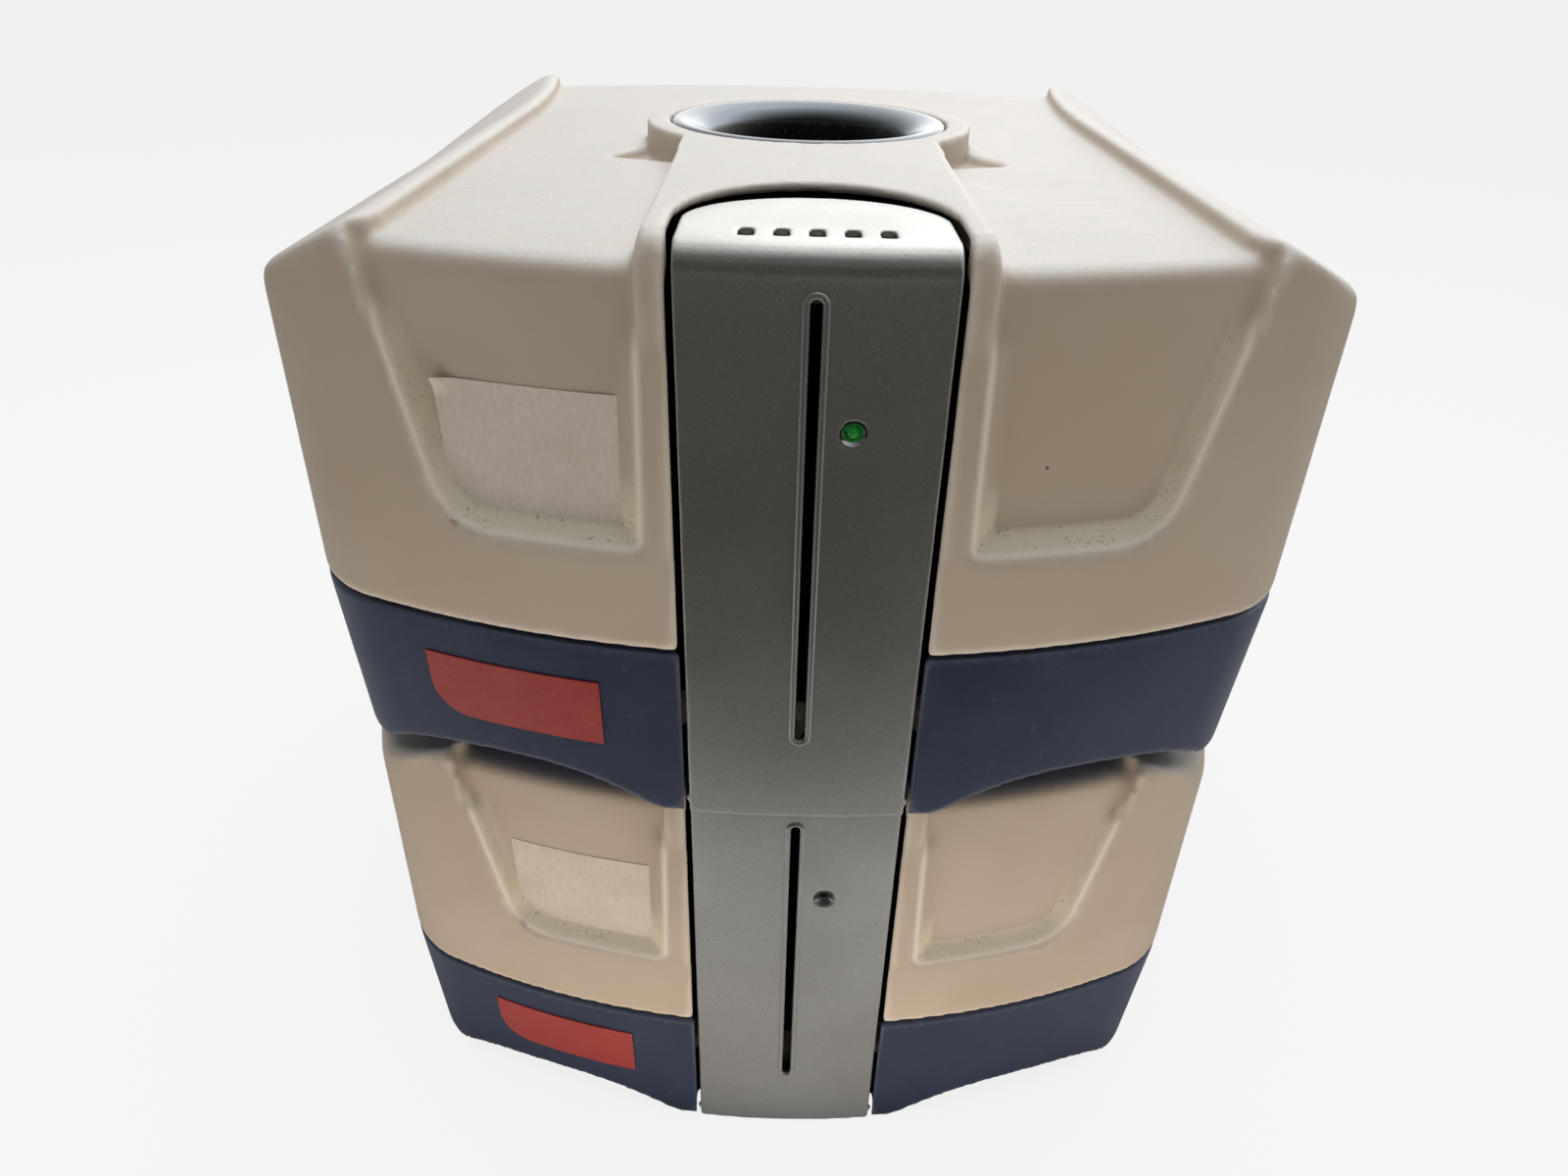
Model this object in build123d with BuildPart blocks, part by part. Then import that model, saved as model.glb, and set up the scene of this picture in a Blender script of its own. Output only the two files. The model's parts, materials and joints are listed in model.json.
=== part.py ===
"""Two stacked disc storage units: each turns a carousel of upright discs behind a slotted front."""

from build123d import *
from math import acos, cos, degrees, pi, radians, sin, sqrt, tan
import os

os.makedirs("parts", exist_ok=True)

# Sizes are in millimetres. Z = 0 is what the unit's feet stand on, and -Y is the front.
# The carousel turns about the Z axis.

# The stack
unit_pitch = 160.0
stack_clearance = 0.2
foot_lift = 0.8

# Case: four bulging sides with rounded corners
case_half = 167.5
side_bulge_radius = 320.0
foot_bulge_radius = 290.0
corner_radius = 35.0
cover_draft = 1.35
wall = 2.8
seam_height = 58.3
seam_gap = 1.0

# Top of the cover
lip_crest = 164.5
channel_floor = unit_pitch - stack_clearance
floor_thickness = 2.6
lip_offset = 108.0
lip_width = 4.5
flare_start = 30.0
flare_radius = 600.0
shoulder_run = 62.0
shoulder_fall = 35.0
shoulder_bow = 1.5
shoulder_margin = 30.0
front_round = 7.0
trough_round = 5.0
trough_corner = (1.5, 6.0)

# Raised band and the collar round the funnel
band_top = 167.6
band_front_half = 38.8
band_neck_half = 40.5
collar_radius = 55.5
neck_round = 8.0
collar_hole_radius = 47.6
ledge_radius = 42.5
ledge_wall_radius = 50.5
ledge_height = 164.8
pocket_depth = 3.5
pocket_corners = [(38.0, -41.0), (64.0, -32.0), (62.5, -27.0), (54.0, -14.0), (38.0, -14.0)]
pocket_round = 1.5

# Front recess of the cover
recess_depth = 4.0
recess_inner_bottom = 42.0
recess_inner_top = 40.0
recess_outer_bottom = 94.5
recess_outer_top = 109.5
recess_bottom = 89.0
recess_round = 15.0
recess_inner_round = 4.0
recess_back = -141.0

# Arch in the band for the panel's cap
arch_half = 33.2
arch_centre = -143.0
arch_depth = 37.0

# Base
base_floor_bottom = 10.2
base_floor_thickness = 2.6
skirt_wall = 1.5
skirt_reach = 112.0
arch_profile = [
    (42.0, 0.8),
    (49.0, 4.4),
    (63.0, 9.8),
    (87.0, 12.0),
    (106.0, 10.4),
    (122.0, 6.2),
    (131.0, 0.8),
]
panel_gap_half = 33.0
panel_cut_depth = 6.0
tongue_wall = 1.5
tongue_rise = 6.0
tongue_clearance = 0.3

# Front panel
panel_half = 31.85
panel_wall = 2.0
panel_top = 164.1
panel_lean_run = 2.5
panel_edge_round = 3.0
panel_return = 7.0
panel_return_bottom = 14.0
panel_return_top = 157.0
tab_height = 6.0
tab_size = 1.6
slot_width = 3.6
slot_bottom = 30.2
slot_top = 155.2
cap_top = 165.7
cap_wall = 2.0
cap_centre = -140.0
cap_depth = 24.5
window_pitch = 8.0
window_count = 5
window_length = 6.9
window_width = 3.5
window_offset = -151.0

# Discs and the carousel
disc_radius = 60.0
disc_clearance = 0.8
disc_orbit = 100.5
disc_height = 92.7
disc_places = 100
slit_width = 2.0
carousel_bore = 38.0
hub_radius = 43.0
carousel_radius = 150.0
plate_bottom = 26.0
plate_top = 35.0
hub_top = 150.0
comb_width = 9.0
comb_top = 52.0
web_thickness = 4.0
through_inner = 50.0
through_outer = 108.0

# Spindle and its bush
spindle_radius = 6.0
running_clearance = 0.05
bush_radius = 10.0
bush_flange_radius = 14.0
hub_boss_radius = 15.0
hub_boss_top = 42.0
base_boss_radius = 15.0
base_boss_top = 24.0
spindle_top = 46.0
thrust_clearance = 0.3
clip_thickness = 1.2
clip_clearance = 0.2
clip_groove = 1.0

# Carousel drive
drive_module = 1.25
ring_teeth = 252
pinion_teeth = 12
ring_addendum = 0.7
ring_dedendum = 1.25
pinion_dedendum = 0.95
pressure_angle = 20.0
gear_width = 7.0
gear_bottom = 24.0
drive_angle = 45.0
drive_backlash = 0.3
motor_radius = 10.0
motor_height = 27.0
motor_shaft_radius = 1.5
shaft_overhang = 5.0
bracket_bottom = 32.2
bracket_thickness = 2.1
bracket_half = 18.0
bracket_inner = 154.0
bracket_outer = 175.0
bracket_post_radius = 3.0
bracket_post_offset = 13.5
bracket_post_inset = 3.5

# Disc pusher
pusher_pivot = -100.0
pusher_axis = 19.4
pusher_length = 44.0
pusher_height = 3.2
pusher_thickness = 1.4
pusher_hub_radius = 4.0
pusher_shaft_radius = 1.5
pusher_shaft_half = 15.5
pusher_module = 0.5
pusher_gear_teeth = 20
pusher_pinion_teeth = 10
pusher_addendum = 0.8
pusher_dedendum = 1.1
pusher_backlash = 0.1
pusher_gear_from = 5.0
pusher_gear_width = 4.0
pusher_motor_from = 17.5
pusher_motor_length = 20.0
pusher_motor_radius = 5.0
pusher_motor_shaft = 1.0
bearing_offset = 13.0
bearing_block = 4.0
bearing_block_depth = 8.0
bearing_block_rise = 3.6

# Funnel in the collar
funnel_rim_radius = 46.6
funnel_rim_drop = 1.0
funnel_wall = 1.6
funnel_mouth_radius = 40.5
funnel_well_radius = 33.8
funnel_bottom = 62.0

# Sensor, board and sockets
sensor_height = 88.0
sensor_offset = 8.0
sensor_lean = 0.15
sensor_size = (5.0, 3.6, 14.0)
standoff_radius = 3.0
board_bottom = 16.0
board_centre = (-70.0, 75.0)
board_size = (80.0, 56.0)
board_thickness = 1.6
board_chips = [
    ((0.0, 0.0), (14.0, 14.0, 1.8)),
    ((-26.0, 14.0), (12.0, 8.0, 5.0)),
    ((24.0, -16.0), (10.0, 16.0, 2.4)),
]
socket_bottom = 13.0
socket_depth = 16.0
socket_clearance = 0.2
socket_hole = 9.0
usb_place = -24.0
usb_size = (12.0, 10.6)
usb_opening = (8.6, 7.8)
usb_tongue = (5.6, 3.2)
power_place = 4.0
power_size = (9.5, 10.2)
power_hole_radius = 3.2
power_pin_radius = 1.0

# Light and stack contacts
led_offset = 9.8
led_height = 123.3
led_radius = 1.5
led_seat_radius = 3.15
led_seat_depth = 3.0
led_cone_depth = 1.8
contact_height = 12.0
stack_block_height = 1.8
stack_pin_length = 4.0

# Feet and screws
foot_radius = 8.0
foot_place = (80.0, 105.0)
screw_place = (141.0, 108.0)
boss_radius = 4.6
boss_rise = 24.0
screw_radius = 1.45
screw_hole_radius = 1.7
screw_grip_radius = 1.5
screw_head_radius = 2.8
screw_head_height = 2.4
screw_seat_height = 48.0

# Label and plate
label_size = (48.0, 37.0)
label_corner = (-45.0, 91.8)
label_cut = 4.0
label_thickness = 0.25
badge_low = (-108.0, 24.0)
badge_high = (-56.0, 46.0)
badge_round = 11.0
badge_thickness = 0.5
skin_gap = 0.02

# Length of cuts that run right through
reach = 200.0

# Values that follow from the sizes above
upwards = (Align.CENTER, Align.CENTER, Align.MIN)
downwards = (Align.CENTER, Align.CENTER, Align.MAX)
inwards = (Align.CENTER, Align.MAX, Align.CENTER)
screw_corners = [(x * screw_place[0], y * screw_place[1]) for x in (-1, 1) for y in (-1, 1)]
standoff_half = (board_size[0] / 2 - standoff_radius, board_size[1] / 2 - standoff_radius)
standoff_places = [
    (board_centre[0] + x * standoff_half[0], board_centre[1] + y * standoff_half[1])
    for x in (-1, 1)
    for y in (-1, 1)
]
cover_bottom = seam_height + seam_gap / 2
base_top = seam_height - seam_gap / 2
base_floor_top = base_floor_bottom + base_floor_thickness
ceiling = channel_floor - floor_thickness
panel_lean = panel_lean_run / panel_top
ring_radius = drive_module * ring_teeth / 2
pinion_radius = drive_module * pinion_teeth / 2
drive_distance = ring_radius + pinion_radius
pusher_gear_radius = pusher_module * pusher_gear_teeth / 2
pusher_pinion_radius = pusher_module * pusher_pinion_teeth / 2
pusher_motor_place = pusher_pivot - pusher_gear_radius - pusher_pinion_radius
shoulder_wall_drop = wall * sqrt(shoulder_run**2 + shoulder_fall**2) / shoulder_run

pieces = []


def keep(piece, label):
    """Name a finished piece and list it for both units."""
    piece.part.label = label
    pieces.append(piece.part)


def half_at(height):
    """Distance from the axis to the middle of a side of the case."""
    return case_half - max(0.0, height - seam_height) * tan(radians(cover_draft))


def bulge_at(height):
    """Radius of the bulging sides: the skirt's corners tuck in towards the feet."""
    share = min(1.0, height / seam_height)
    return foot_bulge_radius + share * (side_bulge_radius - foot_bulge_radius)


def cushion(height, inset):
    """Outline of the case at one height, drawn in by inset."""
    half = half_at(height) - inset
    bulge = bulge_at(height) - inset
    setback = bulge - half
    tip = (sqrt(8 * bulge**2 - 4 * setback**2) - 2 * setback) / 4
    with BuildSketch(Plane.XY.offset(height)) as outline:
        with BuildLine():
            ThreePointArc((-tip, -tip), (0, -half), (tip, -tip))
            ThreePointArc((tip, -tip), (half, 0), (tip, tip))
            ThreePointArc((tip, tip), (0, half), (-tip, tip))
            ThreePointArc((-tip, tip), (-half, 0), (-tip, -tip))
        make_face()
        fillet(outline.vertices(), corner_radius - inset)
    return outline.sketch


def fill_case(bottom, top, inset, mode=Mode.ADD):
    """Fill the case's form between two heights, drawn in by inset."""
    loft([cushion(bottom, inset), cushion(top, inset)], ruled=True, mode=mode)


def lip_line(depth, inset):
    """X of the lip's crest line at one depth, or of a line that runs inset inside it."""
    if depth <= flare_start:
        return lip_offset - inset
    rise = depth - flare_start
    return lip_offset + flare_radius - sqrt((flare_radius + inset) ** 2 - rise**2)


def panel_face(height):
    """Y of the panel's outer surface on the centre line."""
    return -case_half + height * panel_lean


def side_sag(offset):
    """How far the bulging front falls back at one distance from the centre line."""
    return side_bulge_radius - sqrt(side_bulge_radius**2 - offset**2)


def band_outline(inset):
    """Raised band and its collar, drawn in by inset, at the height of the ceiling."""
    with BuildSketch(Plane.XY.offset(ceiling)) as outline:
        with BuildLine():
            Polyline(
                (-band_front_half + inset, -reach),
                (band_front_half - inset, -reach),
                (band_neck_half - inset, 0),
                (-band_neck_half + inset, 0),
                close=True,
            )
        make_face()
        Circle(collar_radius - inset)
        necks = outline.vertices().filter_by_position(Axis.Y, -collar_radius, -1.0)
        fillet(necks, neck_round)
    return outline.sketch


def tongue_outline(height, half, centre, depth):
    """Straight-sided tongue that runs to the front and ends in half an ellipse."""
    with BuildSketch(Plane.XY.offset(height)) as outline:
        with Locations((0, centre)):
            Ellipse(half, depth)
        with Locations((0, (centre - reach) / 2)):
            Rectangle(2 * half, centre + reach)
    return outline.sketch


def gear_outline(plane, teeth, module, addendum, dedendum, backlash, turn):
    """Gear with involute flanks, turned so that a tooth points at the turn angle."""
    pitch_radius = module * teeth / 2
    base_radius = pitch_radius * cos(radians(pressure_angle))
    tip_radius = pitch_radius + addendum
    root_radius = pitch_radius - dedendum
    pitch_involute = tan(radians(pressure_angle)) - radians(pressure_angle)
    half_tooth = pi / (2 * teeth) - backlash / (2 * pitch_radius)
    flank = [root_radius, pitch_radius, tip_radius]
    if root_radius < base_radius:
        flank.insert(1, base_radius)
    points = []
    for tooth in range(teeth):
        middle = radians(turn) + 2 * pi * tooth / teeth
        sides = [(radius, -1) for radius in flank] + [(radius, 1) for radius in reversed(flank)]
        for radius, side in sides:
            pressure = acos(min(1.0, base_radius / radius))
            angle = middle + side * (half_tooth + pitch_involute - tan(pressure) + pressure)
            points.append((radius * cos(angle), radius * sin(angle)))
    with BuildSketch(plane) as outline:
        with BuildLine():
            Polyline(*points, close=True)
        make_face()
    return outline.sketch


def recess_outline(margin):
    """One front recess seen from the front, grown by margin."""
    with BuildSketch(Plane.XZ.offset(-recess_back)) as outline:
        with BuildLine():
            Polyline(
                (recess_inner_top - margin, lip_crest + 10),
                (recess_inner_bottom - margin, recess_bottom - margin),
                (recess_outer_bottom + margin, recess_bottom - margin),
                (recess_outer_top + margin, lip_crest),
                (recess_outer_top + margin, lip_crest + 10),
                close=True,
            )
        make_face()
        outer_corner = (recess_outer_bottom + margin, recess_bottom - margin)
        inner_corner = (recess_inner_bottom - margin, recess_bottom - margin)
        fillet(outline.vertices().sort_by_distance(outer_corner)[0], recess_round + margin)
        fillet(outline.vertices().sort_by_distance(inner_corner)[0], recess_inner_round + margin)
    return outline.sketch


def pocket_outline(height, margin):
    """One wedge pocket beside the neck, grown by margin."""
    with BuildSketch(Plane.XY.offset(height)) as outline:
        with BuildLine():
            Polyline(*pocket_corners, close=True)
        make_face()
        fillet(outline.vertices().sort_by(Axis.X)[-2:], pocket_round)
        if margin > 0:
            offset(amount=margin)
    return outline.sketch


def skirt_arch():
    """Opening under the skirt, from one foot to the case's corner."""
    with BuildSketch(Plane.XZ.offset(-reach)) as outline:
        with BuildLine():
            edge = Spline(*arch_profile)
            Line(edge @ 1, (arch_profile[-1][0], -1))
            Line((arch_profile[-1][0], -1), (arch_profile[0][0], -1))
            Line((arch_profile[0][0], -1), edge @ 0)
        make_face()
    return outline.sketch


# The shoulders are the space outside the lips: it slopes down to the sides.
with BuildPart() as shoulder_space:
    with BuildLine() as crest_path:
        crest_run = Line((-lip_offset, -reach, lip_crest), (-lip_offset, flare_start, lip_crest))
        JernArc(crest_run @ 1, (0, 1, 0), flare_radius, degrees(reach / flare_radius))
    with BuildSketch(Plane(crest_run @ 0, x_dir=(-1, 0, 0), z_dir=(0, 1, 0))):
        with BuildLine():
            slope = ThreePointArc(
                (0, 0),
                (shoulder_run / 2, -shoulder_fall / 2 + shoulder_bow),
                (shoulder_run, -shoulder_fall),
            )
            Polyline(
                slope @ 1,
                (shoulder_run + shoulder_margin, -shoulder_fall),
                (shoulder_run + shoulder_margin, shoulder_margin),
                (0, shoulder_margin),
                (0, 0),
            )
        make_face()
    sweep()
    mirror(about=Plane.YZ)

# The trough is the space of the top channels, which run down into the front recesses.
with BuildPart() as trough:
    extrude(recess_outline(0), amount=reach + recess_back)
    with BuildSketch(Plane.XY.offset(ceiling)):
        with BuildLine():
            bend = (flare_start + reach) / 2
            Polyline(
                (lip_line(reach, lip_width), reach),
                (0, reach),
                (0, recess_back - trough_corner[1]),
                (recess_outer_top - trough_corner[0], recess_back - trough_corner[1]),
                (lip_line(0, lip_width), recess_back + trough_corner[1]),
                (lip_line(0, lip_width), flare_start),
            )
            ThreePointArc(
                (lip_line(0, lip_width), flare_start),
                (lip_line(bend, lip_width), bend),
                (lip_line(reach, lip_width), reach),
            )
        make_face()
    extrude(amount=shoulder_margin)
    mirror(about=Plane.YZ)
    extrude(band_outline(0), amount=shoulder_margin, mode=Mode.SUBTRACT)

with BuildPart() as trough_floor:
    fill_case(0.0, channel_floor, recess_depth)
    fillet(trough_floor.faces().sort_by(Axis.Z)[-1].edges(), trough_round)

trough_space = trough.part - trough_floor.part

with BuildPart() as recess_backing:
    extrude(recess_outline(wall), amount=reach + recess_back)
    mirror(about=Plane.YZ)
    fill_case(0.0, lip_crest, recess_depth + wall, mode=Mode.SUBTRACT)

with BuildPart() as pockets:
    extrude(pocket_outline(channel_floor - pocket_depth, 0), amount=shoulder_margin)
    mirror(about=Plane.YZ)
    extrude(band_outline(0), amount=shoulder_margin, mode=Mode.SUBTRACT)

with BuildPart() as pocket_backing:
    extrude(pocket_outline(ceiling - pocket_depth, wall), amount=shoulder_margin)
    mirror(about=Plane.YZ)

# Top cover
with BuildPart() as cavity:
    fill_case(cover_bottom - seam_gap, ceiling, wall)
    add(recess_backing.part, mode=Mode.SUBTRACT)
    lowered = Location((0, 0, -shoulder_wall_drop))
    add(shoulder_space.part.moved(lowered), mode=Mode.SUBTRACT)
    add(pocket_backing.part, mode=Mode.SUBTRACT)

with BuildPart() as band_hollow:
    fill_case(ceiling, ledge_height, 3 * wall)
    extrude(band_outline(wall), amount=ledge_height - ceiling, mode=Mode.INTERSECT)
    with Locations((0, 0, ledge_height)):
        Cylinder(ledge_wall_radius, reach, mode=Mode.SUBTRACT)

with BuildPart() as band:
    fill_case(ceiling, band_top, 0)
    fillet(band.faces().sort_by(Axis.Z)[-1].edges(), front_round)
    extrude(band_outline(0), amount=shoulder_margin, mode=Mode.INTERSECT)

with BuildPart() as top_cover:
    fill_case(cover_bottom, lip_crest, 0)
    fillet(top_cover.faces().sort_by(Axis.Z)[-1].edges(), front_round)
    add(shoulder_space.part, mode=Mode.SUBTRACT)
    add(trough_space, mode=Mode.SUBTRACT)
    add(band.part)
    add(pockets.part, mode=Mode.SUBTRACT)
    add(cavity.part, mode=Mode.SUBTRACT)
    add(band_hollow.part, mode=Mode.SUBTRACT)
    arch = tongue_outline(cover_bottom, arch_half, arch_centre, arch_depth)
    extrude(arch, amount=reach, mode=Mode.SUBTRACT)
    with BuildSketch(Plane.XY.offset(ceiling - wall)):
        Circle(ledge_radius)
    extrude(amount=reach, mode=Mode.SUBTRACT)
    with BuildSketch(Plane.XY.offset(ledge_height)):
        Circle(collar_hole_radius)
    extrude(amount=reach, mode=Mode.SUBTRACT)
    with Locations(*[(x, y, cover_bottom) for x, y in screw_corners]):
        Cylinder(boss_radius, boss_rise, align=upwards)
        Cylinder(screw_grip_radius, boss_rise - wall, align=upwards, mode=Mode.SUBTRACT)
keep(top_cover, "top_cover")

# Base: an outer skirt, a floor, and the posts that carry what is inside
with BuildPart() as skirt_openings:
    extrude(skirt_arch(), amount=reach - skirt_reach)
    with Locations((0, 0, base_floor_bottom)):
        Box(2 * reach, -2 * recess_back, reach, align=upwards, mode=Mode.SUBTRACT)
    mirror(about=Plane.YZ)
    mirror(about=Plane.XZ)

with BuildPart() as tongue:
    fill_case(base_top - tongue_rise, base_top, wall / 2)
    fill_case(base_top, base_top + tongue_rise, wall + tongue_clearance)
    tongue_inset = wall + tongue_clearance + tongue_wall
    fill_case(base_top - 2 * tongue_rise, base_top + 2 * tongue_rise, tongue_inset, mode=Mode.SUBTRACT)
    with Locations((0, -reach / 2, seam_height)):
        Box(2 * (panel_gap_half + tongue_wall), reach, reach, mode=Mode.SUBTRACT)
    with Locations(*[(x, y, seam_height) for x, y in screw_corners]):
        Cylinder(boss_radius + tongue_clearance, 2 * reach, mode=Mode.SUBTRACT)

with BuildPart() as base_cover:
    fill_case(foot_lift, base_top, 0)
    fill_case(base_floor_top, base_top + seam_gap, wall, mode=Mode.SUBTRACT)
    fill_case(0.0, base_floor_bottom, skirt_wall, mode=Mode.SUBTRACT)
    add(skirt_openings.part, mode=Mode.SUBTRACT)
    with Locations((0, -case_half, 0)):
        Box(2 * panel_gap_half, 2 * panel_cut_depth, reach, mode=Mode.SUBTRACT)
    add(tongue.part)
    with Locations(*[(x, y, base_floor_bottom) for x, y in screw_corners]):
        Cylinder(boss_radius, cover_bottom - base_floor_bottom, align=upwards)
        Cylinder(screw_hole_radius, reach, align=upwards, mode=Mode.SUBTRACT)
        Cylinder(
            screw_head_radius + tongue_clearance,
            screw_seat_height - base_floor_bottom,
            align=upwards,
            mode=Mode.SUBTRACT,
        )
    with Locations((0, 0, base_floor_bottom)):
        Cylinder(base_boss_radius, base_boss_top - base_floor_bottom, align=upwards)
        Cylinder(spindle_radius + running_clearance, reach, align=upwards, mode=Mode.SUBTRACT)
    for side in (-1, 1):
        with Locations((side * bearing_offset, pusher_pivot, base_floor_bottom)):
            bearing_rise = pusher_axis + bearing_block_rise - base_floor_bottom
            Box(bearing_block, bearing_block_depth, bearing_rise, align=upwards)
    with Locations(Location((0, pusher_pivot, pusher_axis), (0, 90, 0))):
        Cylinder(pusher_shaft_radius + running_clearance, reach / 2, mode=Mode.SUBTRACT)
    for share in (0.2, 0.8):
        cradle_place = pusher_motor_from + share * pusher_motor_length
        with Locations((cradle_place, pusher_motor_place, base_floor_bottom)):
            cradle_rise = pusher_axis - pusher_motor_radius - stack_clearance - base_floor_bottom
            Box(bearing_block, 2 * pusher_motor_radius, cradle_rise, align=upwards)
    with Locations(*[(x, y, base_floor_bottom) for x, y in standoff_places]):
        Cylinder(standoff_radius, board_bottom - base_floor_bottom, align=upwards)
    for place, size in ((usb_place, usb_size), (power_place, power_size)):
        window = (size[0] + 2 * socket_clearance, size[1] + 2 * socket_clearance)
        with Locations((place, case_half, socket_bottom - socket_clearance)):
            Box(window[0], 4 * wall, window[1], align=upwards, mode=Mode.SUBTRACT)
keep(base_cover, "base_cover")

# Front panel: a leaning, slightly bulging plate with a slotted middle and a flat cap
lean = Vector(0, panel_lean, 1)
lean_length = sqrt(1 + panel_lean**2)


def panel_section(height, half, front, back):
    """Section of the bulging panel at one height, from front to back behind its surface."""
    face = panel_face(height)
    with BuildSketch(Plane.XY.offset(height)) as outline:
        with BuildLine():
            outer = ThreePointArc(
                (-half, face + front + side_sag(half)),
                (0, face + front),
                (half, face + front + side_sag(half)),
            )
            inner = ThreePointArc(
                (half, face + back + side_sag(half)),
                (0, face + back),
                (-half, face + back + side_sag(half)),
            )
            Line(outer @ 1, inner @ 0)
            Line(inner @ 1, outer @ 0)
        make_face()
    return outline.sketch


with BuildPart() as front_panel:
    panel_rise = (cap_top - foot_lift) * lean_length
    extrude(panel_section(foot_lift, panel_half, 0, panel_wall), amount=panel_rise, dir=lean)
    return_rise = (panel_return_top - panel_return_bottom) * lean_length
    for side in (-1, 1):
        return_depth = panel_face(panel_return_bottom) + panel_return / 2 + panel_wall
        with BuildSketch(Plane.XY.offset(panel_return_bottom)):
            with Locations((side * (panel_half - panel_wall / 2), return_depth)):
                Rectangle(panel_wall, panel_return)
        extrude(amount=return_rise, dir=lean)
    extrude(tongue_outline(cap_top - cap_wall, panel_half, cap_centre, cap_depth), amount=cap_wall)
    fill_front = panel_section(0, 2 * panel_half, -reach / 2, 0)
    extrude(fill_front, amount=reach * lean_length, dir=lean, mode=Mode.SUBTRACT)
    rim = front_panel.edges().filter_by_position(Axis.Z, cap_top - 0.1, cap_top + 0.1)
    fillet(rim.group_by(Axis.Y)[0], panel_edge_round)
    with BuildSketch(Plane.XZ.offset(-recess_back)):
        with Locations((0, (slot_bottom + slot_top) / 2)):
            SlotOverall(slot_top - slot_bottom, slot_width, rotation=90)
        with Locations((led_offset, led_height)):
            Circle(led_seat_radius)
    extrude(amount=reach, mode=Mode.SUBTRACT)
    with Locations((0, window_offset, cap_top)):
        with GridLocations(window_pitch, 0, window_count, 1):
            Box(window_width, window_length, 4 * cap_wall, mode=Mode.SUBTRACT)
    for side in (-1, 1):
        tab_place = side * (panel_half + (panel_gap_half - panel_half) / 2 - skin_gap)
        tab_depth = panel_face(tab_height) + side_sag(panel_half) + panel_wall / 2
        with Locations((tab_place, tab_depth, tab_height)):
            Box(panel_gap_half - panel_half, panel_wall / 2, tab_size)
keep(front_panel, "front_panel")

# Funnel in the collar
with BuildPart() as funnel:
    with BuildSketch(Plane.XZ):
        with BuildLine():
            rim_top = band_top - funnel_rim_drop
            well = Spline(
                (funnel_mouth_radius, ledge_height),
                (funnel_well_radius + funnel_wall, ledge_height - 14),
                (funnel_well_radius, funnel_bottom),
                tangents=((-1, -0.35), (0, -1)),
            )
            Polyline(
                well @ 1,
                (0, funnel_bottom),
                (0, funnel_bottom - funnel_wall),
                (funnel_well_radius + funnel_wall, funnel_bottom - funnel_wall),
            )
            outside = Spline(
                (funnel_well_radius + funnel_wall, funnel_bottom - funnel_wall),
                (funnel_well_radius + 2 * funnel_wall, ledge_height - 14),
                (funnel_mouth_radius + funnel_wall, ledge_height - funnel_wall),
                tangents=((0, 1), (1, 0.6)),
            )
            Polyline(
                outside @ 1,
                (ledge_radius - running_clearance, ledge_height),
                (funnel_rim_radius, ledge_height),
                (funnel_rim_radius, rim_top),
                (funnel_mouth_radius, ledge_height),
            )
        make_face()
    revolve(axis=Axis.Z)
keep(funnel, "funnel")

# Light beside the slot, in its conical seat
light_face = panel_face(led_height) + side_sag(led_offset)
with BuildPart(Plane((led_offset, light_face, led_height), z_dir=(0, 1, 0))) as led_seat:
    Cylinder(led_seat_radius - running_clearance, led_seat_depth, align=upwards)
    Cylinder(led_radius + running_clearance, reach, mode=Mode.SUBTRACT)
    seat_mouth = led_seat_radius - 2 * running_clearance
    Cone(seat_mouth, led_radius, led_cone_depth, align=upwards, mode=Mode.SUBTRACT)
keep(led_seat, "led_seat")

with BuildPart(Plane((led_offset, light_face, led_height), z_dir=(0, 1, 0))) as led:
    with Locations((0, 0, led_cone_depth)):
        Cylinder(led_radius, led_seat_depth, align=upwards)
        Sphere(led_radius)
keep(led, "led")

# Contacts that join a unit to the one stacked on it
with BuildPart() as contact_block:
    with Locations((0, window_offset, cap_top - cap_wall)):
        Box(window_count * window_pitch + 4, window_length + 6, contact_height, align=downwards)
    with Locations((0, window_offset, cap_top - cap_wall)):
        with GridLocations(window_pitch, 0, window_count, 1):
            Box(window_width, window_length, contact_height / 2, align=downwards, mode=Mode.SUBTRACT)
            with Locations((0, 0, -contact_height / 2)):
                Box(window_width / 2, window_length - 1, contact_height / 2 - 1, align=upwards)
keep(contact_block, "contact_block")

with BuildPart() as stack_contacts:
    with Locations((0, window_offset, base_floor_bottom)):
        Box(window_count * window_pitch + 4, window_length + 2, stack_block_height, align=downwards)
        with GridLocations(window_pitch, 0, window_count, 1):
            Cylinder(window_width / 4, stack_pin_length, align=downwards)
keep(stack_contacts, "stack_contacts")

# Carousel: a plate, a hub and a low comb, slit so that each disc stands on edge
with BuildPart() as slit:
    with BuildSketch(Plane.XZ.offset(-slit_width / 2)):
        with Locations((disc_orbit, disc_height)):
            Circle(disc_radius + disc_clearance)
        with Locations(((disc_orbit + reach) / 2, disc_height)):
            Rectangle(reach - disc_orbit, 2 * (disc_radius + disc_clearance))
        with Locations(((through_inner + through_outer) / 2, plate_bottom)):
            Rectangle(through_outer - through_inner, disc_radius)
    extrude(amount=slit_width)

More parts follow.
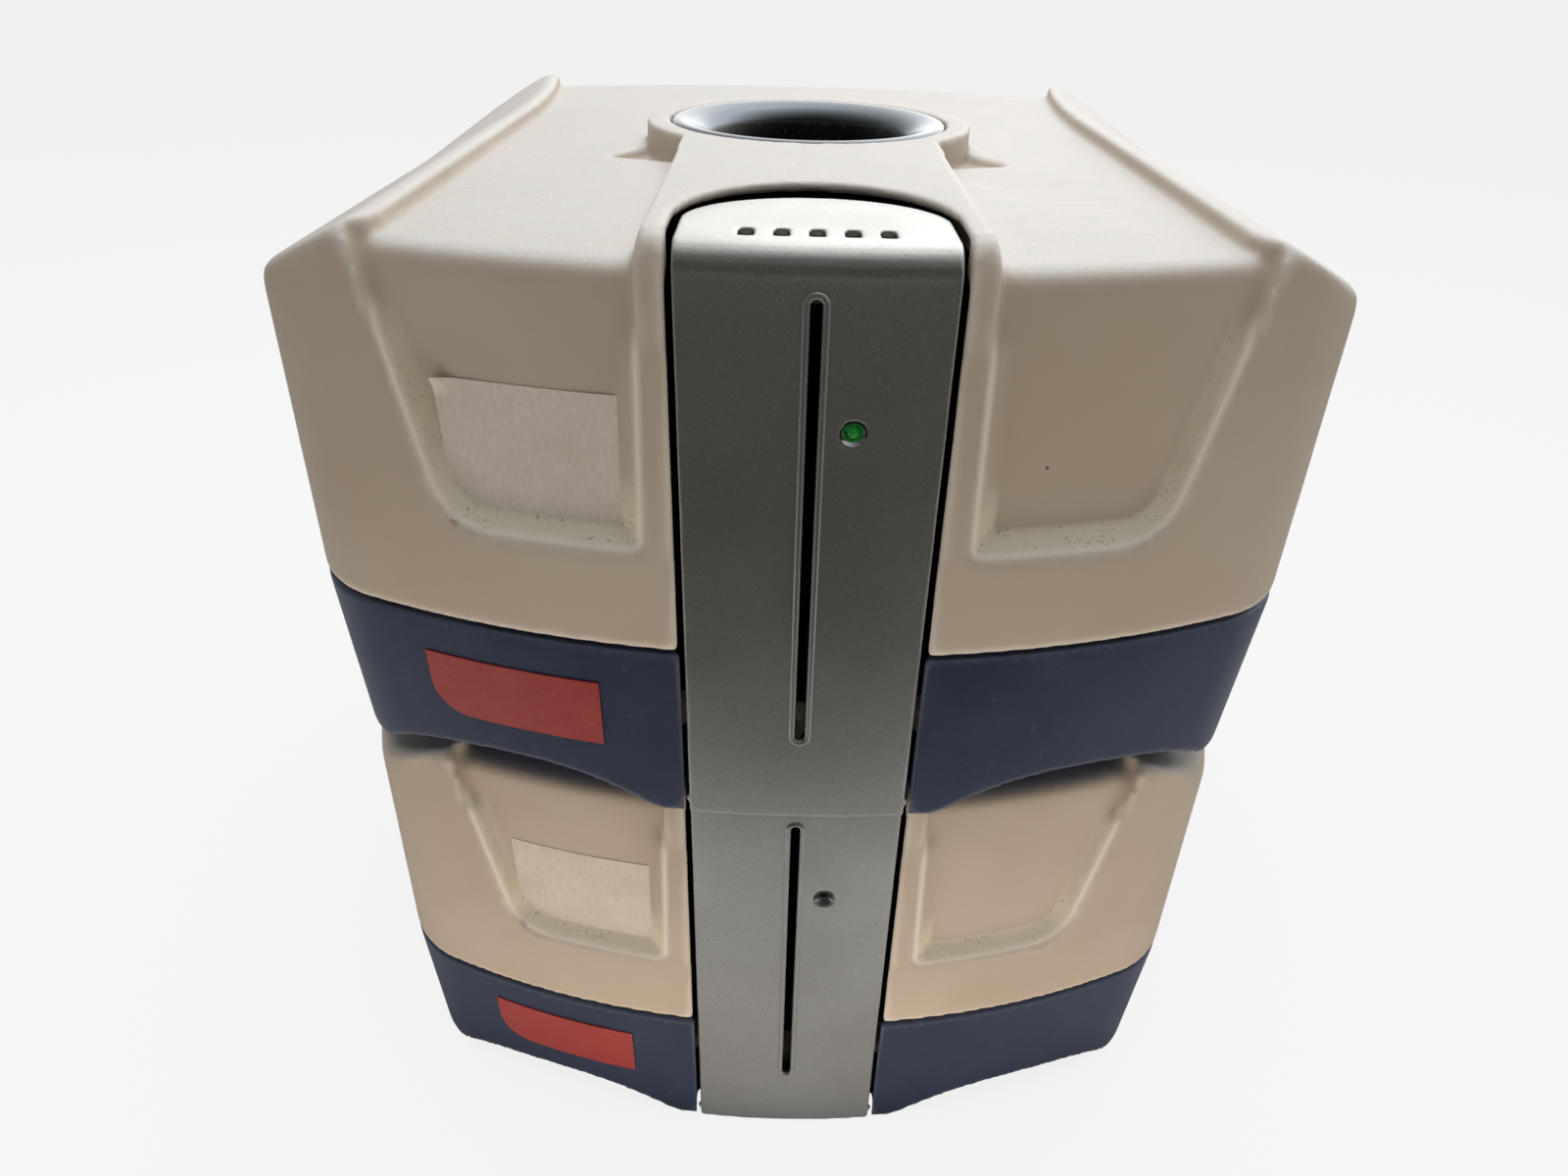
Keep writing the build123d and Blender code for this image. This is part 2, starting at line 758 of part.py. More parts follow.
with BuildPart() as carousel:
    with BuildSketch(Plane.XZ):
        with BuildLine():
            Polyline(
                (bush_radius + running_clearance, plate_bottom),
                (carousel_radius, plate_bottom),
                (carousel_radius, comb_top),
                (carousel_radius - comb_width, comb_top),
                (carousel_radius - comb_width, plate_top),
                (hub_radius, plate_top),
                (hub_radius, hub_top),
                (carousel_bore, hub_top),
                (carousel_bore, plate_bottom + web_thickness),
                (hub_boss_radius, plate_bottom + web_thickness),
                (hub_boss_radius, hub_boss_top),
                (bush_radius + running_clearance, hub_boss_top),
                close=True,
            )
        make_face()
    revolve(axis=Axis.Z)
    with PolarLocations(0, disc_places):
        add(slit.part, mode=Mode.SUBTRACT)
keep(carousel, "carousel")

with BuildPart() as ring_gear:
    ring_plane = Plane.XY.offset(gear_bottom)
    extrude(
        gear_outline(
            ring_plane,
            ring_teeth,
            drive_module,
            ring_addendum * drive_module,
            ring_dedendum * drive_module,
            drive_backlash,
            drive_angle + 180 / ring_teeth,
        ),
        amount=gear_width,
    )
    with BuildSketch(ring_plane):
        Circle(carousel_radius)
    extrude(amount=gear_width, mode=Mode.SUBTRACT)
    with BuildSketch(ring_plane):
        Circle(carousel_radius)
        Circle(carousel_radius - comb_width, mode=Mode.SUBTRACT)
    extrude(amount=plate_bottom - gear_bottom)
keep(ring_gear, "ring_gear")

with BuildPart() as bearing_bush:
    with Locations((0, 0, base_boss_top + thrust_clearance)):
        Cylinder(bush_flange_radius, plate_bottom - base_boss_top - thrust_clearance, align=upwards)
        Cylinder(bush_radius, hub_boss_top - base_boss_top - thrust_clearance, align=upwards)
    Cylinder(spindle_radius + running_clearance, reach, mode=Mode.SUBTRACT)
keep(bearing_bush, "bearing_bush")

with BuildPart() as spindle:
    with Locations((0, 0, base_floor_bottom)):
        Cylinder(spindle_radius, spindle_top - base_floor_bottom, align=upwards)
    chamfer(spindle.edges().sort_by(Axis.Z)[-1], 1.0)
    with Locations((0, 0, hub_boss_top + thrust_clearance)):
        Cylinder(spindle_radius, clip_thickness + clip_clearance, align=upwards, mode=Mode.SUBTRACT)
        Cylinder(spindle_radius - clip_groove, clip_thickness + clip_clearance, align=upwards)
keep(spindle, "spindle")

with BuildPart() as retaining_clip:
    with BuildSketch(Plane.XY.offset(hub_boss_top + thrust_clearance + clip_clearance / 2)):
        Circle(bush_radius)
        Circle(spindle_radius - clip_groove + running_clearance, mode=Mode.SUBTRACT)
        with Locations((0, -bush_radius)):
            Rectangle(2 * (spindle_radius - clip_groove), bush_radius, mode=Mode.SUBTRACT)
    extrude(amount=clip_thickness)
keep(retaining_clip, "retaining_clip")

# Carousel drive in the back right corner
drive_plane = Plane.XY.rotated((0, 0, drive_angle))
with BuildPart() as drive_pinion:
    pinion_plane = drive_plane.offset(gear_bottom)
    pinion_plane.origin = pinion_plane.from_local_coords((drive_distance, 0, 0))
    extrude(
        gear_outline(
            pinion_plane,
            pinion_teeth,
            drive_module,
            drive_module,
            pinion_dedendum * drive_module,
            drive_backlash,
            180,
        ),
        amount=gear_width,
    )
    with BuildSketch(pinion_plane.offset(-shaft_overhang)):
        Circle(motor_shaft_radius)
    extrude(amount=2 * shaft_overhang + 2 * gear_width)
keep(drive_pinion, "drive_pinion")

with BuildPart(drive_plane) as motor_bracket:
    with Locations(((bracket_inner + bracket_outer) / 2, 0, bracket_bottom)):
        Box(bracket_outer - bracket_inner, 2 * bracket_half, bracket_thickness, align=upwards)
    with Locations((drive_distance, 0, 0)):
        Cylinder(2 * motor_shaft_radius, 2 * reach, mode=Mode.SUBTRACT)
    for side in (-1, 1):
        with Locations((bracket_outer - bracket_post_inset, side * bracket_post_offset, base_floor_top)):
            Cylinder(bracket_post_radius, bracket_bottom - base_floor_top, align=upwards)
keep(motor_bracket, "motor_bracket")

with BuildPart(drive_plane) as drive_motor:
    with Locations((drive_distance, 0, bracket_bottom + bracket_thickness)):
        Cylinder(motor_radius, motor_height, align=upwards)
        fillet(drive_motor.edges().filter_by(GeomType.CIRCLE), motor_shaft_radius / 2)
        shaft_hole = motor_shaft_radius + running_clearance
        Cylinder(shaft_hole, motor_height / 2, align=upwards, mode=Mode.SUBTRACT)
keep(drive_motor, "drive_motor")

# Pusher that swings up through a slit and rolls the disc out of the front
pusher_plane = Plane((0, pusher_pivot, pusher_axis), x_dir=(0, 1, 0), z_dir=(1, 0, 0))
with BuildPart() as eject_lever:
    with BuildSketch(pusher_plane.offset(-pusher_thickness / 2)):
        Circle(pusher_hub_radius)
        with Locations((pusher_length / 2, 0)):
            SlotOverall(pusher_length + pusher_height, pusher_height)
        Circle(pusher_shaft_radius + skin_gap, mode=Mode.SUBTRACT)
    extrude(amount=pusher_thickness)
keep(eject_lever, "eject_lever")

with BuildPart() as eject_shaft:
    with BuildSketch(pusher_plane.offset(-pusher_shaft_half)):
        Circle(pusher_shaft_radius)
    extrude(amount=2 * pusher_shaft_half)
keep(eject_shaft, "eject_shaft")

with BuildPart() as eject_gear:
    wheel_plane = pusher_plane.offset(pusher_gear_from)
    extrude(
        gear_outline(
            wheel_plane,
            pusher_gear_teeth,
            pusher_module,
            pusher_addendum * pusher_module,
            pusher_dedendum * pusher_module,
            pusher_backlash,
            180 + 180 / pusher_gear_teeth,
        ),
        amount=pusher_gear_width,
    )
    with BuildSketch(wheel_plane):
        Circle(pusher_shaft_radius + skin_gap)
    extrude(amount=pusher_gear_width, mode=Mode.SUBTRACT)
keep(eject_gear, "eject_gear")

with BuildPart() as eject_pinion:
    small_plane = Plane(
        (pusher_gear_from, pusher_motor_place, pusher_axis),
        x_dir=(0, 1, 0),
        z_dir=(1, 0, 0),
    )
    extrude(
        gear_outline(
            small_plane,
            pusher_pinion_teeth,
            pusher_module,
            pusher_addendum * pusher_module,
            pusher_dedendum * pusher_module,
            pusher_backlash,
            0,
        ),
        amount=pusher_gear_width,
    )
    with BuildSketch(small_plane):
        Circle(pusher_motor_shaft)
    extrude(amount=pusher_motor_from + 2 - pusher_gear_from)
keep(eject_pinion, "eject_pinion")

with BuildPart(Plane((pusher_motor_from, pusher_motor_place, pusher_axis), z_dir=(1, 0, 0))) as eject_motor:
    Cylinder(pusher_motor_radius, pusher_motor_length, align=upwards)
    fillet(eject_motor.edges().filter_by(GeomType.CIRCLE), pusher_motor_shaft / 2)
    Cylinder(pusher_motor_shaft + running_clearance, 6, mode=Mode.SUBTRACT)
keep(eject_motor, "eject_motor")

# Sensor on both sides of the slot, board and sockets
sensor_back = panel_face(sensor_height) + panel_wall + side_sag(sensor_offset) + skin_gap
with BuildPart() as slot_sensor:
    for side in (-1, 1):
        with Locations((side * sensor_offset, sensor_back + sensor_lean, sensor_height)):
            Box(*sensor_size, align=(Align.CENTER, Align.MIN, Align.CENTER))
keep(slot_sensor, "slot_sensor")

with BuildPart() as control_board:
    with Locations((board_centre[0], board_centre[1], board_bottom)):
        Box(board_size[0], board_size[1], board_thickness, align=upwards)
    for place, size in board_chips:
        chip_place = (board_centre[0] + place[0], board_centre[1] + place[1])
        with Locations((*chip_place, board_bottom + board_thickness)):
            Box(*size, align=upwards)
keep(control_board, "control_board")

with BuildPart() as usb_socket:
    with Locations((usb_place, case_half - wall / 2, socket_bottom)):
        Box(usb_size[0], socket_depth, usb_size[1], align=(Align.CENTER, Align.MAX, Align.MIN))
    with Locations((usb_place, case_half - wall / 2, socket_bottom + usb_size[1] / 2)):
        Box(usb_opening[0], socket_hole, usb_opening[1], align=inwards, mode=Mode.SUBTRACT)
        Box(usb_tongue[0], socket_hole, usb_tongue[1], align=inwards)
keep(usb_socket, "usb_socket")

with BuildPart() as power_socket:
    with Locations((power_place, case_half - wall / 2, socket_bottom)):
        Box(power_size[0], socket_depth, power_size[1], align=(Align.CENTER, Align.MAX, Align.MIN))
    power_centre = (power_place, case_half - wall / 2, socket_bottom + power_size[1] / 2)
    with Locations(Location(power_centre, (90, 0, 0))):
        Cylinder(power_hole_radius, socket_hole, align=upwards, mode=Mode.SUBTRACT)
        Cylinder(power_pin_radius, socket_hole, align=upwards)
keep(power_socket, "power_socket")

# Feet and screws
with BuildPart() as rubber_feet:
    with GridLocations(2 * foot_place[0], 2 * foot_place[1], 2, 2):
        Cylinder(foot_radius, base_floor_bottom, align=upwards)
    chamfer(rubber_feet.edges().group_by(Axis.Z)[0], 1.0)
keep(rubber_feet, "rubber_feet")

with BuildPart() as cover_screws:
    with Locations(*[(x, y, screw_seat_height) for x, y in screw_corners]):
        Cylinder(screw_head_radius, screw_head_height, align=downwards)
        Cylinder(screw_radius, boss_rise, align=upwards)
    with Locations(*[(x, y, screw_seat_height - screw_head_height) for x, y in screw_corners]):
        Cylinder(screw_radius / 2, screw_head_height / 2, align=upwards, mode=Mode.SUBTRACT)
keep(cover_screws, "cover_screws")

# Paper label on the left recess and red plate on the skirt
with BuildPart() as paper_label:
    with BuildSketch(Plane.XZ.offset(-recess_back)) as paper:
        with Locations(label_corner):
            Rectangle(*label_size, align=(Align.MAX, Align.MIN))
        cut_corner = (label_corner[0] - label_size[0], label_corner[1])
        chamfer(paper.vertices().sort_by_distance(cut_corner)[0], label_cut, 2 * label_cut)
    extrude(amount=reach)
    label_back = recess_depth - skin_gap
    label_front = label_back - label_thickness
    fill_case(label_corner[1] - wall, lip_crest, label_back, mode=Mode.SUBTRACT)
    fill_case(label_corner[1] - wall, lip_crest, label_front, mode=Mode.INTERSECT)
keep(paper_label, "paper_label")

with BuildPart() as badge:
    with BuildSketch(Plane.XZ.offset(-recess_back)) as plate:
        with Locations(badge_low):
            badge_size = (badge_high[0] - badge_low[0], badge_high[1] - badge_low[1])
            Rectangle(*badge_size, align=(Align.MIN, Align.MIN))
        fillet(plate.vertices().sort_by_distance(badge_low)[0], badge_round)
    extrude(amount=reach)
    fill_case(foot_lift, base_top, -skin_gap, mode=Mode.SUBTRACT)
    fill_case(foot_lift, base_top, -skin_gap - badge_thickness, mode=Mode.INTERSECT)
keep(badge, "badge")

# The same pieces make both units of the stack.
for level, unit in enumerate(("lower", "upper")):
    for piece in pieces:
        placed = piece.moved(Location((0, 0, level * unit_pitch)))
        placed.label = f"{unit}_{piece.label}"
        export_step(placed, f"parts/{placed.label}.step")
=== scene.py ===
import json
import math

import bmesh
import bpy
import numpy as np
from mathutils import Matrix, Vector
from mathutils.bvhtree import BVHTree


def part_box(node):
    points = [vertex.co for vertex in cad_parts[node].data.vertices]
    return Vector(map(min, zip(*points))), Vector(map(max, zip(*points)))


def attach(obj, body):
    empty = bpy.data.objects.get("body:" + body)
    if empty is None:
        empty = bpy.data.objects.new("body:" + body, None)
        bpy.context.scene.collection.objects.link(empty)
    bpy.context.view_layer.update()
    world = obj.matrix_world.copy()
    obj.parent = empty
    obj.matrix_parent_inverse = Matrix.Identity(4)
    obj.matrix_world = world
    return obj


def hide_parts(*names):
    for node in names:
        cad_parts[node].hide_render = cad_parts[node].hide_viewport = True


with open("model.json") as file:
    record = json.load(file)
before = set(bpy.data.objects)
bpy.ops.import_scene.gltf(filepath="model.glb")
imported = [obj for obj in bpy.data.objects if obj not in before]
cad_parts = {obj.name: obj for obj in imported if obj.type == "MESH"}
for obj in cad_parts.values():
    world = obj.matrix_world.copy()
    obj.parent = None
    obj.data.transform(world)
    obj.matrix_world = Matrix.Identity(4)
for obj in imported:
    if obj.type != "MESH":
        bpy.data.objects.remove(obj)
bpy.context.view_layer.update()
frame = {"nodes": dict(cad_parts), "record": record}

MM = 0.001
UNITS = ("lower", "upper")
UNIT_PITCH = 160 * MM
REACH = 0.2


def level(unit):
    """Height of a unit's own zero in the stack."""
    return UNITS.index(unit) * UNIT_PITCH


def body(unit):
    return f"{unit}_unit"


# Shader helpers


def hue(code):
    """An sRGB hex colour as the linear RGBA that shaders take."""
    parts = [int(code[i:i + 2], 16) / 255 for i in (1, 3, 5)]
    return (*[c / 12.92 if c <= 0.04045 else ((c + 0.055) / 1.055) ** 2.4 for c in parts], 1.0)


def per_mm(size):
    """Texture scale whose pattern repeats about every so many millimetres."""
    return 1 / (size * MM)


def wire(tree, node, inputs):
    """Set or link a node's inputs, by name or in order. A node stands for its first output in use."""
    for socket, value in inputs.items() if isinstance(inputs, dict) else enumerate(inputs):
        if isinstance(value, bpy.types.Node):
            value = next(out for out in value.outputs if out.enabled)
        if isinstance(value, bpy.types.NodeSocket):
            tree.links.new(value, node.inputs[socket])
        else:
            node.inputs[socket].default_value = value


def put(tree, kind, inputs=(), **settings):
    """Add a node with its settings and its inputs."""
    made = tree.nodes.new(kind)
    for name, value in settings.items():
        setattr(made, name, value)
    wire(tree, made, inputs)
    return made


def finish_named(name, roughness, metallic=0.0):
    """A new material with its tree, its shader and its coordinates in metres."""
    material = bpy.data.materials.new(name)
    material.use_nodes = True
    tree = material.node_tree
    shader = tree.nodes["Principled BSDF"]
    wire(tree, shader, {"Roughness": roughness, "Metallic": metallic})
    place = put(tree, "ShaderNodeTexCoord").outputs["Object"]
    return material, tree, shader, place


# A range takes a value, its low and high end, and what these two become. A mix has its factor in
# socket 0 and its colours in sockets 6 and 7.
NOISE = "ShaderNodeTexNoise"
CELLS = "ShaderNodeTexVoronoi"
STRETCH = "ShaderNodeMapping"
RANGE = "ShaderNodeMapRange"
MATH = "ShaderNodeMath"
MIX = "ShaderNodeMix"
BUMP = "ShaderNodeBump"
KEPT_VALUE = "ShaderNodeAttribute"


# Materials that show outside


def cover_abs():
    """Cream ABS moulded in a spark-textured tool: fine painted glints and grey dust with painted sheen on
    top, brown dirt with painted shade in hollows, painted highlights on edges and rims, painted light on the
    ledges, painted shade round the funnel.
    """
    material, tree, shader, place = finish_named("cream_spark_textured_abs", 0.46)
    fine = put(tree, NOISE, {"Vector": place, "Scale": per_mm(0.9), "Detail": 2.0})
    cloud = put(tree, NOISE, {"Vector": place, "Scale": per_mm(60), "Detail": 3.0})
    drawn = put(tree, STRETCH, {"Vector": place, "Scale": (1.0, 5.0, 1.0)})
    smear = put(tree, NOISE, {"Vector": drawn, "Scale": per_mm(9), "Detail": 4.0})
    clouding = put(tree, RANGE, (cloud, 0.35, 0.65))
    base = put(tree, MIX, {0: clouding, 6: hue("#C9B8A3"), 7: hue("#D1C2AF")}, data_type="RGBA")

    normal = put(tree, "ShaderNodeNewGeometry").outputs["Normal"]
    facing = put(tree, "ShaderNodeSeparateXYZ", {"Vector": normal})
    upward = put(tree, RANGE, (facing.outputs["Z"], 0.55, 0.95))
    # Upward faces go towards grey-white: partly dust lying there, partly painted sheen of the light above.
    lying = put(tree, RANGE, (smear, 0.3, 0.7, 0.35, 0.9))
    dusty = put(tree, MATH, (upward, lying), operation="MULTIPLY")
    base = put(tree, MIX, {0: dusty, 6: base, 7: hue("#D3D2CE")}, data_type="RGBA")
    # Painted glints: fine near-white flecks on upward faces, standing for the light caught by the grain.
    painted_glint = put(tree, RANGE, (fine, 0.56, 0.74, 0.0, 0.45))
    painted_sparkle = put(tree, MATH, (upward, painted_glint), operation="MULTIPLY")
    base = put(tree, MIX, {0: painted_sparkle, 6: base, 7: hue("#F2F2EE")}, data_type="RGBA")

    # Hollows go towards brown: partly dirt, partly painted shade in creases and recesses.
    grime_and_shade = put(tree, KEPT_VALUE, attribute_name="grime_and_shade").outputs["Fac"]
    dirty_and_shaded = put(tree, MATH, (grime_and_shade, 0.3), operation="MULTIPLY")
    base = put(tree, MIX, {0: dirty_and_shaded, 6: base, 7: hue("#9A8262")}, data_type="RGBA")
    # The recess ledges get brown specks of dirt on a pale ground; the pale ground is painted light, for
    # ledges that face the light above.
    crumbs = put(tree, NOISE, {"Vector": place, "Scale": per_mm(0.9), "Detail": 5.0})
    specks = put(tree, RANGE, (crumbs, 0.33, 0.43))
    soiled_and_lit = put(tree, MIX, {0: specks, 6: hue("#9C7F54"), 7: hue("#F4EBD2")}, data_type="RGBA")
    swept = put(tree, STRETCH, {"Vector": place, "Scale": (0.4, 1.0, 1.0)})
    patches = put(tree, NOISE, {"Vector": swept, "Scale": per_mm(4), "Detail": 4.0})
    streaks = put(tree, RANGE, (patches, 0.42, 0.62))
    soiled_and_lit = put(tree, MIX, {0: streaks, 6: hue("#F4EBD2"), 7: soiled_and_lit}, data_type="RGBA")
    ledge = put(tree, KEPT_VALUE, attribute_name="dust").outputs["Fac"]
    base = put(tree, MIX, {0: ledge, 6: base, 7: soiled_and_lit}, data_type="RGBA")

    # The rim line is a painted highlight: a near-white line along the outline of the front recesses.
    rim = put(tree, KEPT_VALUE, attribute_name="rim").outputs["Fac"]
    rubbed = put(tree, MATH, (rim, 0.9), operation="MULTIPLY")
    base = put(tree, MIX, {0: rubbed, 6: base, 7: hue("#FFF6E6")}, data_type="RGBA")
    # Proud edges go towards pale: partly rubbing, partly painted highlight.
    wear_and_highlight = put(tree, KEPT_VALUE, attribute_name="wear_and_highlight").outputs["Fac"]
    worn_and_lit = put(tree, MATH, (wear_and_highlight, 0.6), operation="MULTIPLY")
    base = put(tree, MIX, {0: worn_and_lit, 6: base, 7: hue("#F1EAE0")}, data_type="RGBA")
    # Painted shade: the cover goes near-black round the funnel inside the collar, where the gap between them
    # is in shade.
    seat_shade = put(tree, KEPT_VALUE, attribute_name="seat_shade").outputs["Fac"]
    base = put(tree, MIX, {0: seat_shade, 6: base, 7: hue("#26221E")}, data_type="RGBA")
    cells = put(tree, CELLS, {"Vector": place, "Scale": per_mm(34), "Randomness": 1.0})
    spots = put(tree, RANGE, (cells, 0.012, 0.018, 0.85, 0.0))
    base = put(tree, MIX, {0: spots, 6: base, 7: hue("#3A3128")}, data_type="RGBA")

    dull = put(tree, RANGE, (smear, 0.3, 0.75, 0.38, 0.55))
    relief = put(tree, BUMP, {"Height": fine, "Distance": 0.12 * MM, "Strength": 0.55})
    wire(tree, shader, {"Base Color": base, "Roughness": dull, "Normal": relief})
    return material


def base_abs():
    """Navy ABS, moulded matt: an even dark blue with a dull sheen, a little pale dust, and pale edges that
    are partly rubbed and partly painted highlight.
    """
    material, tree, shader, place = finish_named("navy_matt_moulded_abs", 0.42)
    fine = put(tree, NOISE, {"Vector": place, "Scale": per_mm(0.8), "Detail": 2.0})
    cloud = put(tree, NOISE, {"Vector": place, "Scale": per_mm(25), "Detail": 5.0})
    clouding = put(tree, RANGE, (cloud, 0.35, 0.7))
    base = put(tree, MIX, {0: clouding, 6: hue("#243050"), 7: hue("#2C3A5C")}, data_type="RGBA")
    dust = put(tree, NOISE, {"Vector": place, "Scale": per_mm(2.2), "Detail": 6.0})
    dusty = put(tree, RANGE, (dust, 0.6, 0.8, 0.0, 0.12))
    base = put(tree, MIX, {0: dusty, 6: base, 7: hue("#8B8C8E")}, data_type="RGBA")
    # Proud edges go towards a pale blue-grey: partly rubbing, partly painted highlight.
    wear_and_highlight = put(tree, KEPT_VALUE, attribute_name="wear_and_highlight").outputs["Fac"]
    worn_and_lit = put(tree, MATH, (wear_and_highlight, 0.5), operation="MULTIPLY")
    base = put(tree, MIX, {0: worn_and_lit, 6: base, 7: hue("#6C7488")}, data_type="RGBA")
    dull = put(tree, RANGE, (cloud, 0.3, 0.7, 0.38, 0.5))
    relief = put(tree, BUMP, {"Height": fine, "Distance": 0.08 * MM, "Strength": 0.5})
    wire(tree, shader, {"Base Color": base, "Roughness": dull, "Normal": relief})
    return material


def panel_paint():
    """Silver paint with fine metal flake on ABS: a satin grey, as light or dark as what it reflects."""
    material, tree, shader, place = finish_named("silver_metallic_paint", 0.34, 0.9)
    flake = put(tree, NOISE, {"Vector": place, "Scale": per_mm(0.35), "Detail": 1.0})
    cloud = put(tree, NOISE, {"Vector": place, "Scale": per_mm(30), "Detail": 4.0})
    flaking = put(tree, RANGE, (flake, 0.35, 0.65))
    base = put(tree, MIX, {0: flaking, 6: hue("#BFBFBC"), 7: hue("#D4D4D1")}, data_type="RGBA")
    clouding = put(tree, RANGE, (cloud, 0.4, 0.7, 0.0, 0.18))
    base = put(tree, MIX, {0: clouding, 6: base, 7: hue("#ABA9A4")}, data_type="RGBA")
    drawn = put(tree, STRETCH, {"Vector": place, "Scale": (0.25, 1.0, 6.0)})
    rub = put(tree, NOISE, {"Vector": drawn, "Scale": per_mm(2), "Detail": 2.0})
    rubbed = put(tree, RANGE, (rub, 0.72, 0.78, 0.0, 0.3))
    base = put(tree, MIX, {0: rubbed, 6: base, 7: hue("#8C8A86")}, data_type="RGBA")
    cells = put(tree, CELLS, {"Vector": place, "Scale": per_mm(23)})
    specks = put(tree, RANGE, (cells, 0.012, 0.02, 0.7, 0.0))
    base = put(tree, MIX, {0: specks, 6: base, 7: hue("#E8E6DE")}, data_type="RGBA")
    dull = put(tree, RANGE, (cloud, 0.3, 0.7, 0.32, 0.42))
    relief = put(tree, BUMP, {"Height": flake, "Distance": 0.03 * MM, "Strength": 0.4})
    wire(tree, shader, {"Base Color": base, "Roughness": dull, "Normal": relief})
    return material


def funnel_plate():
    """Vacuum-plated ABS: mirror chrome on the flared mouth, which ends sharply at a dusty black well."""
    material, tree, shader, place = finish_named("vacuum_plated_chrome", 0.07, 1.0)
    height = put(tree, "ShaderNodeSeparateXYZ", {"Vector": place}).outputs["Z"]
    storey = put(tree, MATH, (height, UNIT_PITCH + 30 * MM), operation="GREATER_THAN")
    foot = put(tree, MATH, (storey, UNIT_PITCH), operation="MULTIPLY")
    rise = put(tree, MATH, (height, foot), operation="SUBTRACT")
    mouth = put(tree, RANGE, (rise, 161.2 * MM, 163.0 * MM))
    plated = put(tree, MIX, {0: mouth, 6: hue("#151413"), 7: hue("#70777D")}, data_type="RGBA")
    dust = put(tree, NOISE, {"Vector": place, "Scale": per_mm(1.6), "Detail": 6.0})
    patches = put(tree, RANGE, (dust, 0.58, 0.7, 0.0, 0.5))
    sunk = put(tree, RANGE, (mouth, 0.0, 1.0, 1.0, 0.15))
    dusty = put(tree, MATH, (patches, sunk), operation="MULTIPLY")
    plated = put(tree, MIX, {0: dusty, 6: plated, 7: hue("#6E6862")}, data_type="RGBA")
    dull = put(tree, RANGE, (mouth, 0.0, 1.0, 0.38, 0.08))
    metal = put(tree, RANGE, (mouth, 0.0, 0.6, 0.35, 1.0))
    wave = put(tree, NOISE, {"Vector": place, "Scale": per_mm(14), "Detail": 1.0})
    relief = put(tree, BUMP, {"Height": wave, "Distance": 0.05 * MM, "Strength": 0.25})
    wire(tree, shader, {"Base Color": plated, "Roughness": dull, "Metallic": metal, "Normal": relief})
    return material


def label_paper():
    """Uncoated paper label: off-white with faint fibres, dusty, a little darker at random."""
    material, tree, shader, place = finish_named("uncoated_label_paper", 0.82)
    drawn = put(tree, STRETCH, {"Vector": place, "Scale": (1.0, 1.0, 0.4)})
    fibre = put(tree, NOISE, {"Vector": drawn, "Scale": per_mm(1.1), "Detail": 6.0})
    shade = put(tree, RANGE, (fibre, 0.3, 0.7))
    base = put(tree, MIX, {0: shade, 6: hue("#DCD3C6"), 7: hue("#E8E1D6")}, data_type="RGBA")
    stain = put(tree, NOISE, {"Vector": place, "Scale": per_mm(18), "Detail": 4.0})
    stained = put(tree, RANGE, (stain, 0.45, 0.7, 0.0, 0.35))
    base = put(tree, MIX, {0: stained, 6: base, 7: hue("#C9BCA9")}, data_type="RGBA")
    relief = put(tree, BUMP, {"Height": fibre, "Distance": 0.06 * MM, "Strength": 0.5})
    wire(tree, shader, {"Base Color": base, "Normal": relief})
    return material


def badge_vinyl():
    """Red printed vinyl plate, bare: a flat even red with a soft shine."""
    material, tree, shader, place = finish_named("red_printed_vinyl", 0.34)
    cloud = put(tree, NOISE, {"Vector": place, "Scale": per_mm(8), "Detail": 4.0})
    clouding = put(tree, RANGE, (cloud, 0.3, 0.7))
    base = put(tree, MIX, {0: clouding, 6: hue("#A6302B"), 7: hue("#B23A33")}, data_type="RGBA")
    dust = put(tree, NOISE, {"Vector": place, "Scale": per_mm(1.5), "Detail": 6.0})
    dusty = put(tree, RANGE, (dust, 0.6, 0.78, 0.0, 0.2))
    base = put(tree, MIX, {0: dusty, 6: base, 7: hue("#C9A79B")}, data_type="RGBA")
    dull = put(tree, RANGE, (cloud, 0.3, 0.7, 0.28, 0.42))
    fine = put(tree, NOISE, {"Vector": place, "Scale": per_mm(0.7), "Detail": 2.0})
    relief = put(tree, BUMP, {"Height": fine, "Distance": 0.02 * MM, "Strength": 0.3})
    wire(tree, shader, {"Base Color": base, "Roughness": dull, "Normal": relief})
    return material


def lens_epoxy(name, colour, glow, strength):
    """Tinted epoxy lens: a dark clear green dome, lit from inside when on."""
    material, tree, shader, place = finish_named(name, 0.12)
    cloud = put(tree, NOISE, {"Vector": place, "Scale": per_mm(0.8), "Detail": 2.0})
    tint = put(tree, MIX, {0: cloud, 6: hue(colour), 7: hue(glow)}, data_type="RGBA")
    shade = put(tree, RANGE, (cloud, 0.3, 0.7))
    light = put(tree, MIX, {0: shade, 6: hue(glow), 7: hue(colour)}, data_type="RGBA")
    wire(tree, shader, {"Base Color": tint, "Coat Weight": 0.6})
    wire(tree, shader, {"Emission Color": light, "Emission Strength": strength})
    return material


# Materials of the parts inside, underneath and behind


